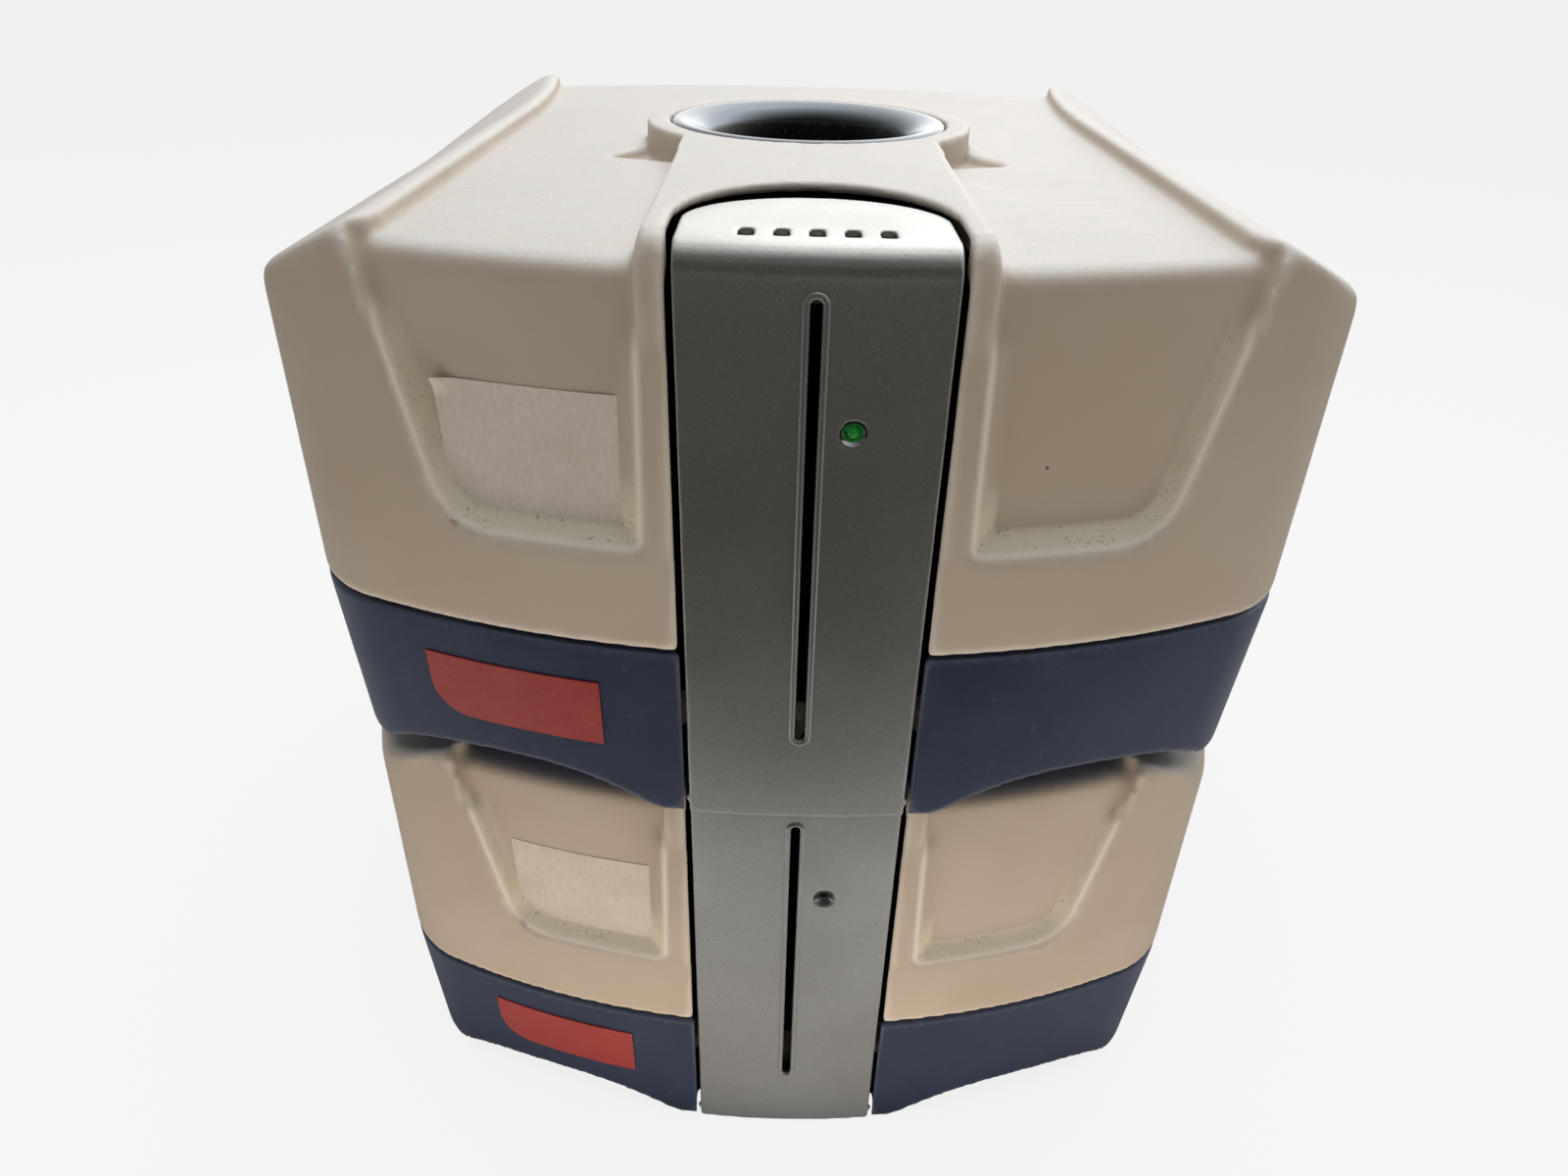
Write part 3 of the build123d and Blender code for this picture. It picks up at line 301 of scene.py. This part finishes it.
def moulded(name, dark, light, roughness, size, depth):
    """A moulded plastic or rubber: slight clouding, and the grain of its tool."""
    material, tree, shader, place = finish_named(name, roughness)
    cloud = put(tree, NOISE, {"Vector": place, "Scale": per_mm(12), "Detail": 3.0})
    clouding = put(tree, RANGE, (cloud, 0.3, 0.7))
    tone = put(tree, MIX, {0: clouding, 6: hue(dark), 7: hue(light)}, data_type="RGBA")
    fine = put(tree, NOISE, {"Vector": place, "Scale": per_mm(size), "Detail": 2.0})
    relief = put(tree, BUMP, {"Height": fine, "Distance": depth * MM, "Strength": 0.5})
    wire(tree, shader, {"Base Color": tone, "Normal": relief})
    return material


def machined(name, dark, light, roughness, size, stretch):
    """A metal with the direction of its drawing, turning or grinding marks."""
    material, tree, shader, place = finish_named(name, roughness, 1.0)
    drawn = put(tree, STRETCH, {"Vector": place, "Scale": stretch})
    marks = put(tree, NOISE, {"Vector": drawn, "Scale": per_mm(size), "Detail": 3.0})
    shade = put(tree, RANGE, (marks, 0.3, 0.7))
    tone = put(tree, MIX, {0: shade, 6: hue(dark), 7: hue(light)}, data_type="RGBA")
    dull = put(tree, RANGE, (marks, 0.3, 0.7, roughness * 0.8, roughness * 1.3))
    relief = put(tree, BUMP, {"Height": marks, "Distance": 0.01 * MM, "Strength": 0.4})
    wire(tree, shader, {"Base Color": tone, "Roughness": dull, "Normal": relief})
    return material


ALONG_X = (0.08, 1.0, 1.0)
ALONG_Z = (1.0, 1.0, 0.08)
EVEN = (1.0, 1.0, 1.0)
FINISHES = {
    "cover_plastic": cover_abs(),
    "base_plastic": base_abs(),
    "panel_silver": panel_paint(),
    "funnel_chrome": funnel_plate(),
    "label_paper": label_paper(),
    "badge_red": badge_vinyl(),
    "led_green": lens_epoxy("green_epoxy_lens_lit", "#0B3B14", "#2F8F3A", 0.5),
    "led_dark": lens_epoxy("green_epoxy_lens_off", "#0A120B", "#16201A", 0.0),
    "seat_chrome": machined("bright_plated_ring", "#B9BCBE", "#DADDE0", 0.14, 1.5, EVEN),
    "dark_plastic": moulded("black_moulded_nylon", "#141415", "#1E1E20", 0.5, 0.6, 0.03),
    "contact_carrier": moulded("dusty_grey_moulded_nylon", "#857A6E", "#978B7D", 0.6, 0.8, 0.03),
    "carousel_plastic": moulded("black_moulded_abs", "#17171A", "#222226", 0.45, 0.8, 0.04),
    "gear_plastic": moulded("natural_moulded_acetal", "#D8D4C8", "#E6E2D8", 0.38, 1.0, 0.02),
    "foot_rubber": moulded("black_moulded_rubber", "#161514", "#23211F", 0.75, 0.7, 0.06),
    "circuit_board": moulded("green_solder_mask", "#0F4A2A", "#186339", 0.3, 1.8, 0.03),
    "bronze": machined("sintered_bronze", "#8A6434", "#A97E45", 0.45, 0.4, EVEN),
    "steel": machined("ground_steel", "#A4A6A8", "#C2C4C6", 0.28, 0.8, EVEN),
    "spring_steel": machined("blackened_spring_steel", "#2B2B2D", "#3D3D40", 0.42, 0.8, EVEN),
    "motor_can": machined("drawn_plated_steel", "#A3A5A8", "#C3C5C8", 0.3, 1.0, ALONG_Z),
    "bracket_steel": machined("zinc_plated_sheet_steel", "#A8A38F", "#C4C1B2", 0.4, 3.0, EVEN),
    "lever_steel": machined("stamped_stainless_steel", "#A5A6A7", "#C6C7C8", 0.3, 0.8, ALONG_X),
    "pinion_brass": machined("machined_brass", "#A6803A", "#C59C4E", 0.25, 0.6, ALONG_X),
    "socket_metal": machined("plated_steel_shell", "#B4B6B8", "#CDCFD1", 0.25, 1.0, ALONG_X),
    "screw_zinc": machined("zinc_plated_screw", "#8D8E8C", "#A9AAA8", 0.38, 0.6, EVEN),
}
SLOTS = {row["node"]: row["material_slot"] for row in frame["record"]["subparts"]}
for unit in UNITS:
    SLOTS[f"{unit}_contact_block"] = "contact_carrier"
for name, cad_node in frame["nodes"].items():
    cad_node.data.materials.clear()
    cad_node.data.materials.append(FINISHES[SLOTS[name]])


# Mesh helpers


def show(name, mesh, unit, slot, *nodes):
    """Put a finished mesh in the scene: it rides on its unit and stands for these CAD nodes."""
    piece = bpy.data.objects.new(name, mesh)
    bpy.context.scene.collection.objects.link(piece)
    mesh.materials.clear()
    mesh.materials.append(FINISHES[slot])
    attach(piece, body(unit))
    if nodes:
        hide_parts(*nodes)
    return piece


def modified(mesh, kind, **settings):
    """The mesh as one modifier leaves it."""
    holder = bpy.data.objects.new("holder", mesh)
    bpy.context.scene.collection.objects.link(holder)
    change = holder.modifiers.new("change", kind)
    for name, value in settings.items():
        setattr(change, name, value)
    graph = bpy.context.evaluated_depsgraph_get()
    made = bpy.data.meshes.new_from_object(holder.evaluated_get(graph))
    bpy.data.objects.remove(holder)
    return made


def points_of(mesh):
    points = np.zeros(len(mesh.vertices) * 3)
    mesh.vertices.foreach_get("co", points)
    return points.reshape(-1, 3)


def neighbours(mesh):
    """A function that averages values, one row a vertex, over each vertex's neighbours."""
    pairs = np.zeros(len(mesh.edges) * 2, np.int64)
    mesh.edges.foreach_get("vertices", pairs)
    a, b = pairs.reshape(-1, 2).T
    count = len(mesh.vertices)
    degree = np.maximum(np.bincount(a, minlength=count) + np.bincount(b, minlength=count), 1)

    def average(values):
        sums = [
            np.bincount(a, column[b], count) + np.bincount(b, column[a], count)
            for column in values.T
        ]
        return np.stack(sums, 1) / degree[:, None]

    return average


def settle(mesh, passes, weight=1.0):
    """Round a mesh's edges by moving its points towards their neighbours, pass by pass."""
    average = neighbours(mesh)
    points = points_of(mesh)
    weight = np.broadcast_to(weight, len(points))[:, None]
    for _ in range(passes):
        points += 0.5 * weight * (average(points) - points)
    mesh.vertices.foreach_set("co", points.ravel())
    mesh.update()


def step(values, low, high):
    """Smooth step from 0 at low to 1 at high."""
    t = np.clip((values - low) / (high - low), 0, 1)
    return t * t * (3 - 2 * t)


def store(mesh, name, values):
    """Keep one value a vertex for the materials."""
    mesh.attributes.new(name, "FLOAT", "POINT").data.foreach_set("value", values.astype(np.float32))


def mark_edges(mesh, spread, deep, share=1.0):
    """Store where a mesh is hollow, as dirt with painted shade, in its share of it, and where it stands out,
    as rubbing with painted highlight.
    """
    average = neighbours(mesh)
    points = points_of(mesh)
    normals = np.zeros(len(points) * 3)
    mesh.vertex_normals.foreach_get("vector", normals)
    bend = ((average(points) - points) * normals.reshape(-1, 3)).sum(1, keepdims=True)
    hollow, proud = np.maximum(bend, 0), np.maximum(-bend, 0)
    for _ in range(spread):
        hollow = average(hollow)
    for _ in range(2):
        proud = average(proud)
    store(mesh, "grime_and_shade", share * step(hollow.ravel(), deep * 0.15, deep))
    store(mesh, "wear_and_highlight", step(proud.ravel(), deep * 0.15, deep))


def remeshed(mesh, voxel, passes):
    """A mesh as even small faces, with all its edges rounded, as a mould leaves them."""
    mesh = modified(mesh, "REMESH", mode="VOXEL", voxel_size=voxel * MM)
    settle(mesh, passes)
    return mesh


def softened(node, voxel, passes):
    """A CAD node's form, remeshed."""
    return remeshed(frame["nodes"][node].data.copy(), voxel, passes)


def raised(mesh, height):
    copy = mesh.copy()
    copy.transform(Matrix.Translation((0, 0, height)))
    return copy


def thinned(mesh, faces):
    ratio = min(1.0, faces / (2 * len(mesh.polygons)))
    made = modified(mesh, "DECIMATE", ratio=ratio)
    made.shade_smooth()
    return made


# Covers, skirts and front panels, alike on both units

SHOULDER_X = (122 * MM, 136 * MM)
SHOULDER_Z = (96 * MM, 112 * MM)
RECESS_Y = (118 * MM, 132 * MM)
RECESS_INNER = ((42 * MM, 89 * MM), (40 * MM, 165 * MM))
RECESS_OUTER = ((94.5 * MM, 89 * MM), (109.5 * MM, 164.5 * MM))
RECESS_ROUNDS = (4 * MM, 15 * MM)
RECESS_DEPTH = 4 * MM
RECESS_TOP = (140 * MM, 150 * MM)
WALL_REACH = 4 * MM
EDGE_REACH = 0.8 * MM
SKIN_REACH = 0.9 * MM
BEVEL_WIDTH = 5 * MM
LEDGE_FADE = 1.5 * MM
EDGE_BLUR = 0.5 * MM
RIM_HIGHLIGHT_WIDTH = 1.6 * MM
TROUGH_X = (60 * MM, 80 * MM)
COLLAR_R = (70 * MM, 80 * MM)
LEDGE_TOP = (96 * MM, 112 * MM)
SEAT_R = (47.0 * MM, 48.2 * MM)
SEAT_Z = (150 * MM, 158 * MM)
BACK_Y = (90 * MM, 130 * MM)
BACK_DROP = 1.0 * MM
BACK_SHIFT = 1.4 * MM
CAP_TOP = 165.7 * MM
ROLL_OLD = 3.0 * MM
ROLL_NEW = 7.0 * MM
COVER_VOXEL = 1.25
SKIRT_VOXEL = 0.9
PANEL_VOXEL = 0.5
COVER_FACES = 190000
SKIRT_FACES = 130000
PANEL_FACES = 120000


def recess_distance(across, up):
    """How far each place lies inside a front recess's outline, seen from the front; negative outside."""
    (inner_x, foot), (inner_top, top) = RECESS_INNER
    (outer_x, _), (outer_top, _) = RECESS_OUTER
    floor_side = up - foot
    nearest = floor_side
    inner_side = (inner_x, inner_top, 1, RECESS_ROUNDS[0])
    outer_side = (outer_x, outer_top, -1, RECESS_ROUNDS[1])
    for x, x_top, sign, corner in (inner_side, outer_side):
        length = math.hypot(x_top - x, top - foot)
        normal = (sign * (top - foot) / length, -sign * (x_top - x) / length)
        side = (across - x) * normal[0] + (up - foot) * normal[1]
        nearest = np.minimum(nearest, side)
        a, b, c = corner - floor_side, corner - side, normal[1]
        in_corner = (a > b * c) & (b > a * c)
        arc = corner - np.sqrt(np.maximum(a * a + b * b - 2 * a * b * c, 0) / (1 - c * c))
        nearest = np.where(in_corner, np.minimum(arc, nearest), nearest)
    return nearest


def bevel_recesses(mesh):
    """Slope the sides of the front recesses, whose walls the mould leaves as a wide bevel."""
    points = points_of(mesh)
    across, along, up = np.abs(points[:, 0]), points[:, 1], points[:, 2]
    inside = recess_distance(across, up)
    normals = np.zeros(points.size)
    mesh.vertex_normals.foreach_get("vector", normals)
    facing = -normals.reshape(-1, 3)[:, 1]
    terms = np.stack([np.ones(len(up)), across, up, across**2, across * up, across**4], 1)
    sheet = (inside > 1.5 * MM) & (facing > 0.85) & (along < -RECESS_Y[0]) & (up < RECESS_TOP[0])
    fit = np.linalg.lstsq(terms[sheet], along[sheet], rcond=None)[0]
    ground = terms @ fit
    behind = along - ground
    on_wall = (inside > -WALL_REACH) & (behind > -0.85 * RECESS_DEPTH)
    zone = (on_wall | (inside > -EDGE_REACH)) & (inside < BEVEL_WIDTH)
    zone &= (behind < SKIN_REACH) & (behind > -RECESS_DEPTH - 1 * MM)
    share = (1 - np.clip(inside / BEVEL_WIDTH, 0, 1)) * (1 - step(up, *RECESS_TOP))
    moved = np.where(zone, ground - share * RECESS_DEPTH, along)
    keep = step(up, *RECESS_TOP)
    points[:, 1] = np.where(zone, moved * (1 - keep) + along * keep, along)
    mesh.vertices.foreach_set("co", points.ravel())
    mesh.update()


def backed(mesh):
    """A cover joined with a copy moved in at its back, which closes the CAD's slit along that top edge."""
    copy = mesh.copy()
    points = points_of(copy)
    foot, top = points[:, 2].min(), points[:, 2].max()
    share = step(points[:, 1], *BACK_Y)
    points[:, 2] -= BACK_DROP * share * (points[:, 2] - foot) / (top - foot)
    points[:, 1] -= BACK_SHIFT * share
    copy.vertices.foreach_set("co", points.ravel())
    both = bmesh.new()
    both.from_mesh(mesh)
    both.from_mesh(copy)
    joined = bpy.data.meshes.new("backed")
    both.to_mesh(joined)
    both.free()
    return joined


cover = remeshed(backed(frame["nodes"]["lower_top_cover"].data), COVER_VOXEL, 3)
across, along, up = points_of(cover).T
shoulder = step(np.abs(across), *SHOULDER_X) * step(up, *SHOULDER_Z)
settle(cover, 24, shoulder)
bevel_recesses(cover)
settle(cover, 2, step(-along, *RECESS_Y))
across, along, up = points_of(cover).T
# Less of the hollow mark, dirt with painted shade, on the top round the collar.
collar_top_spared = 0.8 * step(up, *SEAT_Z) * (1 - step(np.hypot(across, along), *COLLAR_R))
mark_edges(cover, 5, 0.12 * MM, 1 - collar_top_spared)
inside = recess_distance(np.abs(across), up)
ledge = step(inside, -EDGE_BLUR, EDGE_BLUR) * (1 - step(inside, BEVEL_WIDTH, BEVEL_WIDTH + LEDGE_FADE))
ledge *= step(-along, *RECESS_Y)
in_trough = step(np.abs(across), *TROUGH_X) * (1 - step(up, *RECESS_TOP))
bottom = 1 - step(up, *LEDGE_TOP)
# The ledge mark: dirt specks on a pale ground that is painted light.
store(cover, "dust", ledge * (0.25 * in_trough + 0.75 * bottom * (1 - 0.3 * in_trough)))
# Painted highlight along the recess outlines.
rim = 1 - np.clip(np.abs(inside) / RIM_HIGHLIGHT_WIDTH, 0, 1)
store(cover, "rim", rim * step(-along, *RECESS_Y) * (1 - step(up, *RECESS_TOP)))
# Painted shade in the gap round the funnel.
store(cover, "seat_shade", (1 - step(np.hypot(across, along), *SEAT_R)) * step(up, *SEAT_Z))
cover = thinned(cover, COVER_FACES)
skirt = softened("lower_base_cover", SKIRT_VOXEL, 4)
mark_edges(skirt, 2, 0.08 * MM)
skirt = thinned(skirt, SKIRT_FACES)


def widen_roll(mesh):
    """Roll the front panel's top edge to a larger radius, its two skins alike."""
    points = points_of(mesh)
    across, along, up = points.T
    normals = np.zeros(points.size)
    mesh.vertex_normals.foreach_get("vector", normals)
    facing = -normals.reshape(-1, 3)[:, 1]
    plate = (facing > 0.95) & (up < CAP_TOP - 2 * ROLL_NEW) & (up > 0.5 * CAP_TOP)
    terms = np.stack([np.ones(len(up)), up, across**2], 1)
    face = terms @ np.linalg.lstsq(terms[plate], along[plate], rcond=None)[0]
    down, back = ROLL_NEW - (CAP_TOP - up), ROLL_NEW - (along - face)
    zone = (down > 0) & (back > 0)
    angle = np.arctan2(np.maximum(down, 1e-9), np.maximum(back, 1e-9))
    inset = ROLL_NEW - ROLL_OLD
    total = np.cos(angle) + np.sin(angle)
    arc = inset * total + np.sqrt(np.maximum((inset * total) ** 2 - 2 * inset**2 + ROLL_OLD**2, 0))
    straight = ROLL_NEW / np.maximum(np.cos(angle), np.sin(angle))
    low_end = math.atan2(inset, ROLL_NEW)
    before = np.where((angle > low_end) & (angle < math.pi / 2 - low_end), arc, straight)
    shift = np.where(zone, before - ROLL_NEW, 0)
    points[:, 2] -= shift * np.sin(angle)
    points[:, 1] += shift * np.cos(angle)
    mesh.vertices.foreach_set("co", points.ravel())
    mesh.update()


panel = softened("lower_front_panel", PANEL_VOXEL, 3)
widen_roll(panel)
settle(panel, 2)
panel = thinned(panel, PANEL_FACES)
for unit in UNITS:
    show(f"{unit}_cover_shell", raised(cover, level(unit)), unit, "cover_plastic", f"{unit}_top_cover")
    show(f"{unit}_skirt", raised(skirt, level(unit)), unit, "base_plastic", f"{unit}_base_cover")
    show(f"{unit}_silver_panel", raised(panel, level(unit)), unit, "panel_silver", f"{unit}_front_panel")


# Funnel: its chrome mouth and its well, turned round the axis of the unit

FUNNEL_PROFILE = [
    (44.0, 164.9), (45.9, 165.1), (46.2, 165.7), (45.9, 166.3), (45.0, 166.6), (43.2, 166.3),
    (41.0, 165.6), (38.8, 164.4), (36.8, 162.4), (35.4, 159.4), (34.6, 155.0), (34.3, 148.0),
    (34.1, 125.0), (34.0, 105.0), (34.0, 85.0), (33.6, 68.0), (32.4, 64.2), (29.0, 62.3),
    (20.0, 62.0), (8.0, 62.0), (0.0, 62.0),
]


def turned(profile, count, height):
    """A profile of radius and height in millimetres, turned round the Z axis and smoothed."""
    rows = [(r * MM, z * MM + height) for r, z in profile]
    angles = [2 * math.pi * i / count for i in range(count)]
    points = [(r * math.cos(a), r * math.sin(a), z) for r, z in rows for a in angles]
    faces = [
        (i * count + j, i * count + (j + 1) % count, (i + 1) * count + (j + 1) % count, (i + 1) * count + j)
        for i in range(len(rows) - 1)
        for j in range(count)
    ]
    mesh = bpy.data.meshes.new("turned")
    mesh.from_pydata(points, [], faces)
    mesh = modified(mesh, "WELD", merge_threshold=0.01 * MM)
    mesh = modified(mesh, "SUBSURF", levels=2)
    mesh.shade_smooth()
    return mesh


funnel = turned(FUNNEL_PROFILE, 96, level("upper"))
funnel = modified(funnel, "SOLIDIFY", thickness=1.2 * MM, offset=1.0)
funnel.shade_smooth()
show("upper_chrome_funnel", funnel, "upper", "funnel_chrome", "upper_funnel")


# Plates stuck on the front: the paper labels and the red plates

PAPER_ROUND = 0.01 * MM
PAPER_THICKNESS = 0.2 * MM
PLATE_ROUND = 11 * MM
PLATE_THICKNESS = 0.45 * MM


def ground_of(node):
    """The CAD node's surface, for finding where a plate lies on it."""
    mesh = frame["nodes"][node].data
    return BVHTree.FromPolygons([v.co[:] for v in mesh.vertices], [p.vertices[:] for p in mesh.polygons])


def stuck(node, outline, thickness, lift, columns=72, rows=48):
    """A thin plate that follows the front of a node. Its outline gives X and Z for u and v from 0 to 1."""
    ground = ground_of(node)
    front, back = [], []
    for j in range(rows + 1):
        for i in range(columns + 1):
            u, v = i / columns, j / rows
            x, z = outline(u, v)
            hit = ground.ray_cast(Vector((x, -REACH, z)), Vector((0, 1, 0)))[0]
            rise = lift(u, v)
            back.append((x, hit.y - 0.02 * MM - rise, z))
            front.append((x, hit.y - 0.02 * MM - rise - thickness, z))
    wide = columns + 1
    count = len(front)
    faces = []
    for j in range(rows):
        for i in range(columns):
            a = j * wide + i
            faces.append((a, a + 1, a + wide + 1, a + wide))
            faces.append((count + a, count + a + wide, count + a + wide + 1, count + a + 1))
    rim = [i for i in range(columns)] + [j * wide + columns for j in range(rows)]
    rim += [rows * wide + i for i in range(columns, 0, -1)] + [j * wide for j in range(rows, 0, -1)]
    for a, b in zip(rim, rim[1:] + rim[:1]):
        faces.append((b, a, count + a, count + b))
    mesh = bpy.data.meshes.new("stuck")
    mesh.from_pydata(front + back, [], faces)
    mesh.shade_smooth()
    mesh.set_sharp_from_angle(angle=math.radians(40))
    return mesh


def rounded_box(low, high, corner_radius):
    """Outline whose lower left corner is cut by a large round."""

    def outline(u, v):
        x = low[0] + u * (high[0] - low[0])
        z = low[1] + v * (high[1] - low[1])
        below = max(0.0, 1 - (z - low[1]) / corner_radius)
        inset = corner_radius * (1 - math.sqrt(max(0.0, 1 - below**2)))
        return x + inset * (1 - u), z

    return outline


def flat(u, v):
    return 0.0


def curled(u, v):
    """Lift of the upper label: its top left corner has come off and rolled up a little."""
    near = max(0.0, 1 - math.hypot(u / 0.14, (1 - v) / 0.16))
    wave = 0.12 * MM * math.sin(9 * u) * v
    return 2.6 * MM * near**1.6 + max(0.0, wave)


for unit in UNITS:
    low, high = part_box(f"{unit}_paper_label")
    corners = [(low.x, low.z), (high.x, high.z)]
    lift = curled if unit == "upper" else flat
    sheet = stuck(f"{unit}_top_cover", rounded_box(*corners, PAPER_ROUND), PAPER_THICKNESS, lift)
    show(f"{unit}_label_sheet", sheet, unit, "label_paper", f"{unit}_paper_label")
    low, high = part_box(f"{unit}_badge")
    shape = rounded_box((low.x, low.z), (high.x, high.z), PLATE_ROUND)
    plate = stuck(f"{unit}_base_cover", shape, PLATE_THICKNESS, flat)
    show(f"{unit}_red_plate", plate, unit, "badge_red", f"{unit}_badge")


# Rolled rim of the disc slot

SLOT_HALF = 1.8 * MM
SLOT_ENDS = (30.2 * MM, 155.2 * MM)
RIM_RADIUS = 0.95 * MM


def slot_rim(unit):
    """A half-round rim along the slot, from a ring of circles on the panel's surface."""
    ground = ground_of(f"{unit}_front_panel")
    base = level(unit)
    low, high = SLOT_ENDS[0] + SLOT_HALF, SLOT_ENDS[1] - SLOT_HALF
    middle = SLOT_HALF + 0.5 * RIM_RADIUS
    path = []
    for i in range(25):
        a = math.pi * i / 24
        path.append((middle * math.cos(a), high + middle * math.sin(a), math.cos(a), math.sin(a)))
    for i in range(1, 60):
        path.append((-middle, high - (high - low) * i / 60, -1.0, 0.0))
    for i in range(25):
        a = math.pi + math.pi * i / 24
        path.append((middle * math.cos(a), low + middle * math.sin(a), math.cos(a), math.sin(a)))
    for i in range(1, 60):
        path.append((middle, low + (high - low) * i / 60, 1.0, 0.0))
    around = 12
    points = []
    for x, z, nx, nz in path:
        away = x + nx * 2.2 * MM, z + nz * 2.2 * MM
        hit = ground.ray_cast(Vector((away[0], -REACH, away[1] + base)), Vector((0, 1, 0)))[0]
        for k in range(around):
            a = 2 * math.pi * k / around
            side, out = RIM_RADIUS * math.cos(a), RIM_RADIUS * math.sin(a)
            points.append((x + nx * side, hit.y + 0.3 * MM - out, z + nz * side + base))
    count = len(path)
    faces = []
    for i in range(count):
        near, far = i * around, (i + 1) % count * around
        for k in range(around):
            after = (k + 1) % around
            faces.append((near + k, near + after, far + after, far + k))
    mesh = bpy.data.meshes.new("rim")
    mesh.from_pydata(points, [], faces)
    mesh.shade_smooth()
    show(f"{unit}_slot_rim", mesh, unit, "panel_silver")


for unit in UNITS:
    slot_rim(unit)


# Floor, backdrop, light and camera


def stage_material():
    """Pale floor that shows white to the camera but keeps the object's shadow."""
    material = bpy.data.materials.new("pale_floor")
    material.use_nodes = True
    tree = material.node_tree
    tree.nodes.clear()
    paths = put(tree, "ShaderNodeLightPath")
    direct = (paths.outputs["Is Camera Ray"], paths.outputs["Is Transmission Ray"])
    seen = put(tree, MATH, direct, operation="MAXIMUM")
    matt = put(tree, "ShaderNodeBsdfDiffuse", {"Color": hue("#E2E1DD")})
    white = put(tree, "ShaderNodeEmission", {"Color": (1, 1, 1, 1), "Strength": 1.0})
    share = put(tree, MATH, (seen, 0.85), operation="MULTIPLY")
    mixed = put(tree, "ShaderNodeMixShader", (share, matt, white))
    put(tree, "ShaderNodeOutputMaterial", {"Surface": mixed})
    return material


floor_mesh = bpy.data.meshes.new("floor")
FLOOR = 60.0
floor_corners = [(-FLOOR, -FLOOR, 0), (FLOOR, -FLOOR, 0), (FLOOR, FLOOR, 0), (-FLOOR, FLOOR, 0)]
floor_mesh.from_pydata(floor_corners, [], [(0, 1, 2, 3)])
floor = bpy.data.objects.new("floor", floor_mesh)
floor.data.materials.append(stage_material())
bpy.context.scene.collection.objects.link(floor)

world = bpy.data.worlds.new("studio")
bpy.context.scene.world = world
world.use_nodes = True
sky = world.node_tree
sky.nodes.clear()
paths = put(sky, "ShaderNodeLightPath")
way = put(sky, "ShaderNodeTexCoord").outputs["Generated"]
toward = put(sky, "ShaderNodeSeparateXYZ", {"Vector": way})
back = put(sky, RANGE, (toward.outputs["Y"], -0.7, 0.45))
behind = put(sky, MATH, (back, 2.0), operation="POWER")
leftward = put(sky, RANGE, (toward.outputs["X"], -0.7, 0.2, 0.15, 1.0))
bright = put(sky, MATH, (behind, leftward), operation="MULTIPLY")
room = put(sky, MIX, {0: bright, 6: hue("#26231F"), 7: hue("#FFFFFF")}, data_type="RGBA")
lit = put(sky, "ShaderNodeBackground", {"Color": room, "Strength": 0.6})
seen_sky = put(sky, "ShaderNodeBackground", {"Color": (1, 1, 1, 1), "Strength": 1.0})
gloss = put(sky, "ShaderNodeBackground", {"Color": room, "Strength": 2.1})
first = put(sky, "ShaderNodeMixShader", (paths.outputs["Is Glossy Ray"], lit, gloss))
direct = (paths.outputs["Is Camera Ray"], paths.outputs["Is Transmission Ray"])
shown = put(sky, MATH, direct, operation="MAXIMUM")
second = put(sky, "ShaderNodeMixShader", (shown, first, seen_sky))
put(sky, "ShaderNodeOutputWorld", {"Surface": second})


def softbox(name, place, target, size, power, colour, mirrored=True):
    """A large lamp that looks at a point and isn't seen itself, except in shiny faces if mirrored."""
    data = bpy.data.lights.new(name, "AREA")
    data.shape = "RECTANGLE"
    data.size, data.size_y = size
    data.energy = power
    data.color = hue(colour)[:3]
    lamp = bpy.data.objects.new(name, data)
    lamp.location = place
    lamp.rotation_euler = (Vector(target) - Vector(place)).to_track_quat("-Z", "Y").to_euler()
    lamp.visible_camera = False
    lamp.visible_glossy = mirrored
    bpy.context.scene.collection.objects.link(lamp)


softbox("overhead", (0.0, 0.0, 1.5), (0, 0, 0.2), (1.7, 1.5), 17.5, "#F7FAFF", False)
softbox("front_low", (0.1, -0.95, 0.12), (0, 0, 0.05), (1.4, 0.5), 0.4, "#FFEEDC", False)
softbox("floor_bounce", (0, -0.27, 0.004), (0, -0.26, 0.3), (0.9, 0.17), 0.85, "#FFEBD6", False)


def dark_card():
    """Black card on the floor in front, which only mirrors see: it keeps the upper panel dark."""
    material = bpy.data.materials.new("black_card")
    material.use_nodes = True
    material.node_tree.nodes["Principled BSDF"].inputs["Base Color"].default_value = hue("#1C1A18")
    mesh = bpy.data.meshes.new("card")
    near, far, half = -0.345, -1.8, 1.5
    corners = [(-half, far, MM), (half, far, MM), (half, near, MM), (-half, near, MM)]
    mesh.from_pydata(corners, [], [(0, 1, 2, 3)])
    mesh.materials.append(material)
    card = bpy.data.objects.new("card", mesh)
    bpy.context.scene.collection.objects.link(card)
    card.visible_camera = False
    card.visible_diffuse = False
    card.visible_shadow = False


dark_card()

EYE = Vector((-7.2608, -384.9935, 381.6453)) * MM
RIGHT = Vector((0.99972415, 0.006435, 0.02258786))
DOWN = Vector((0.02248117, -0.54056388, -0.84100255))
FORWARD = DOWN.cross(-RIGHT)
camera_data = bpy.data.cameras.new("camera")
camera_data.sensor_width = 36.0
camera_data.lens = 23.41
camera = bpy.data.objects.new("camera", camera_data)
bpy.context.scene.collection.objects.link(camera)
turn = Matrix((RIGHT, -DOWN, -FORWARD)).transposed()
camera.matrix_world = Matrix.Translation(EYE) @ turn.to_4x4()
bpy.context.scene.camera = camera
bpy.context.scene.view_settings.view_transform = "Standard"
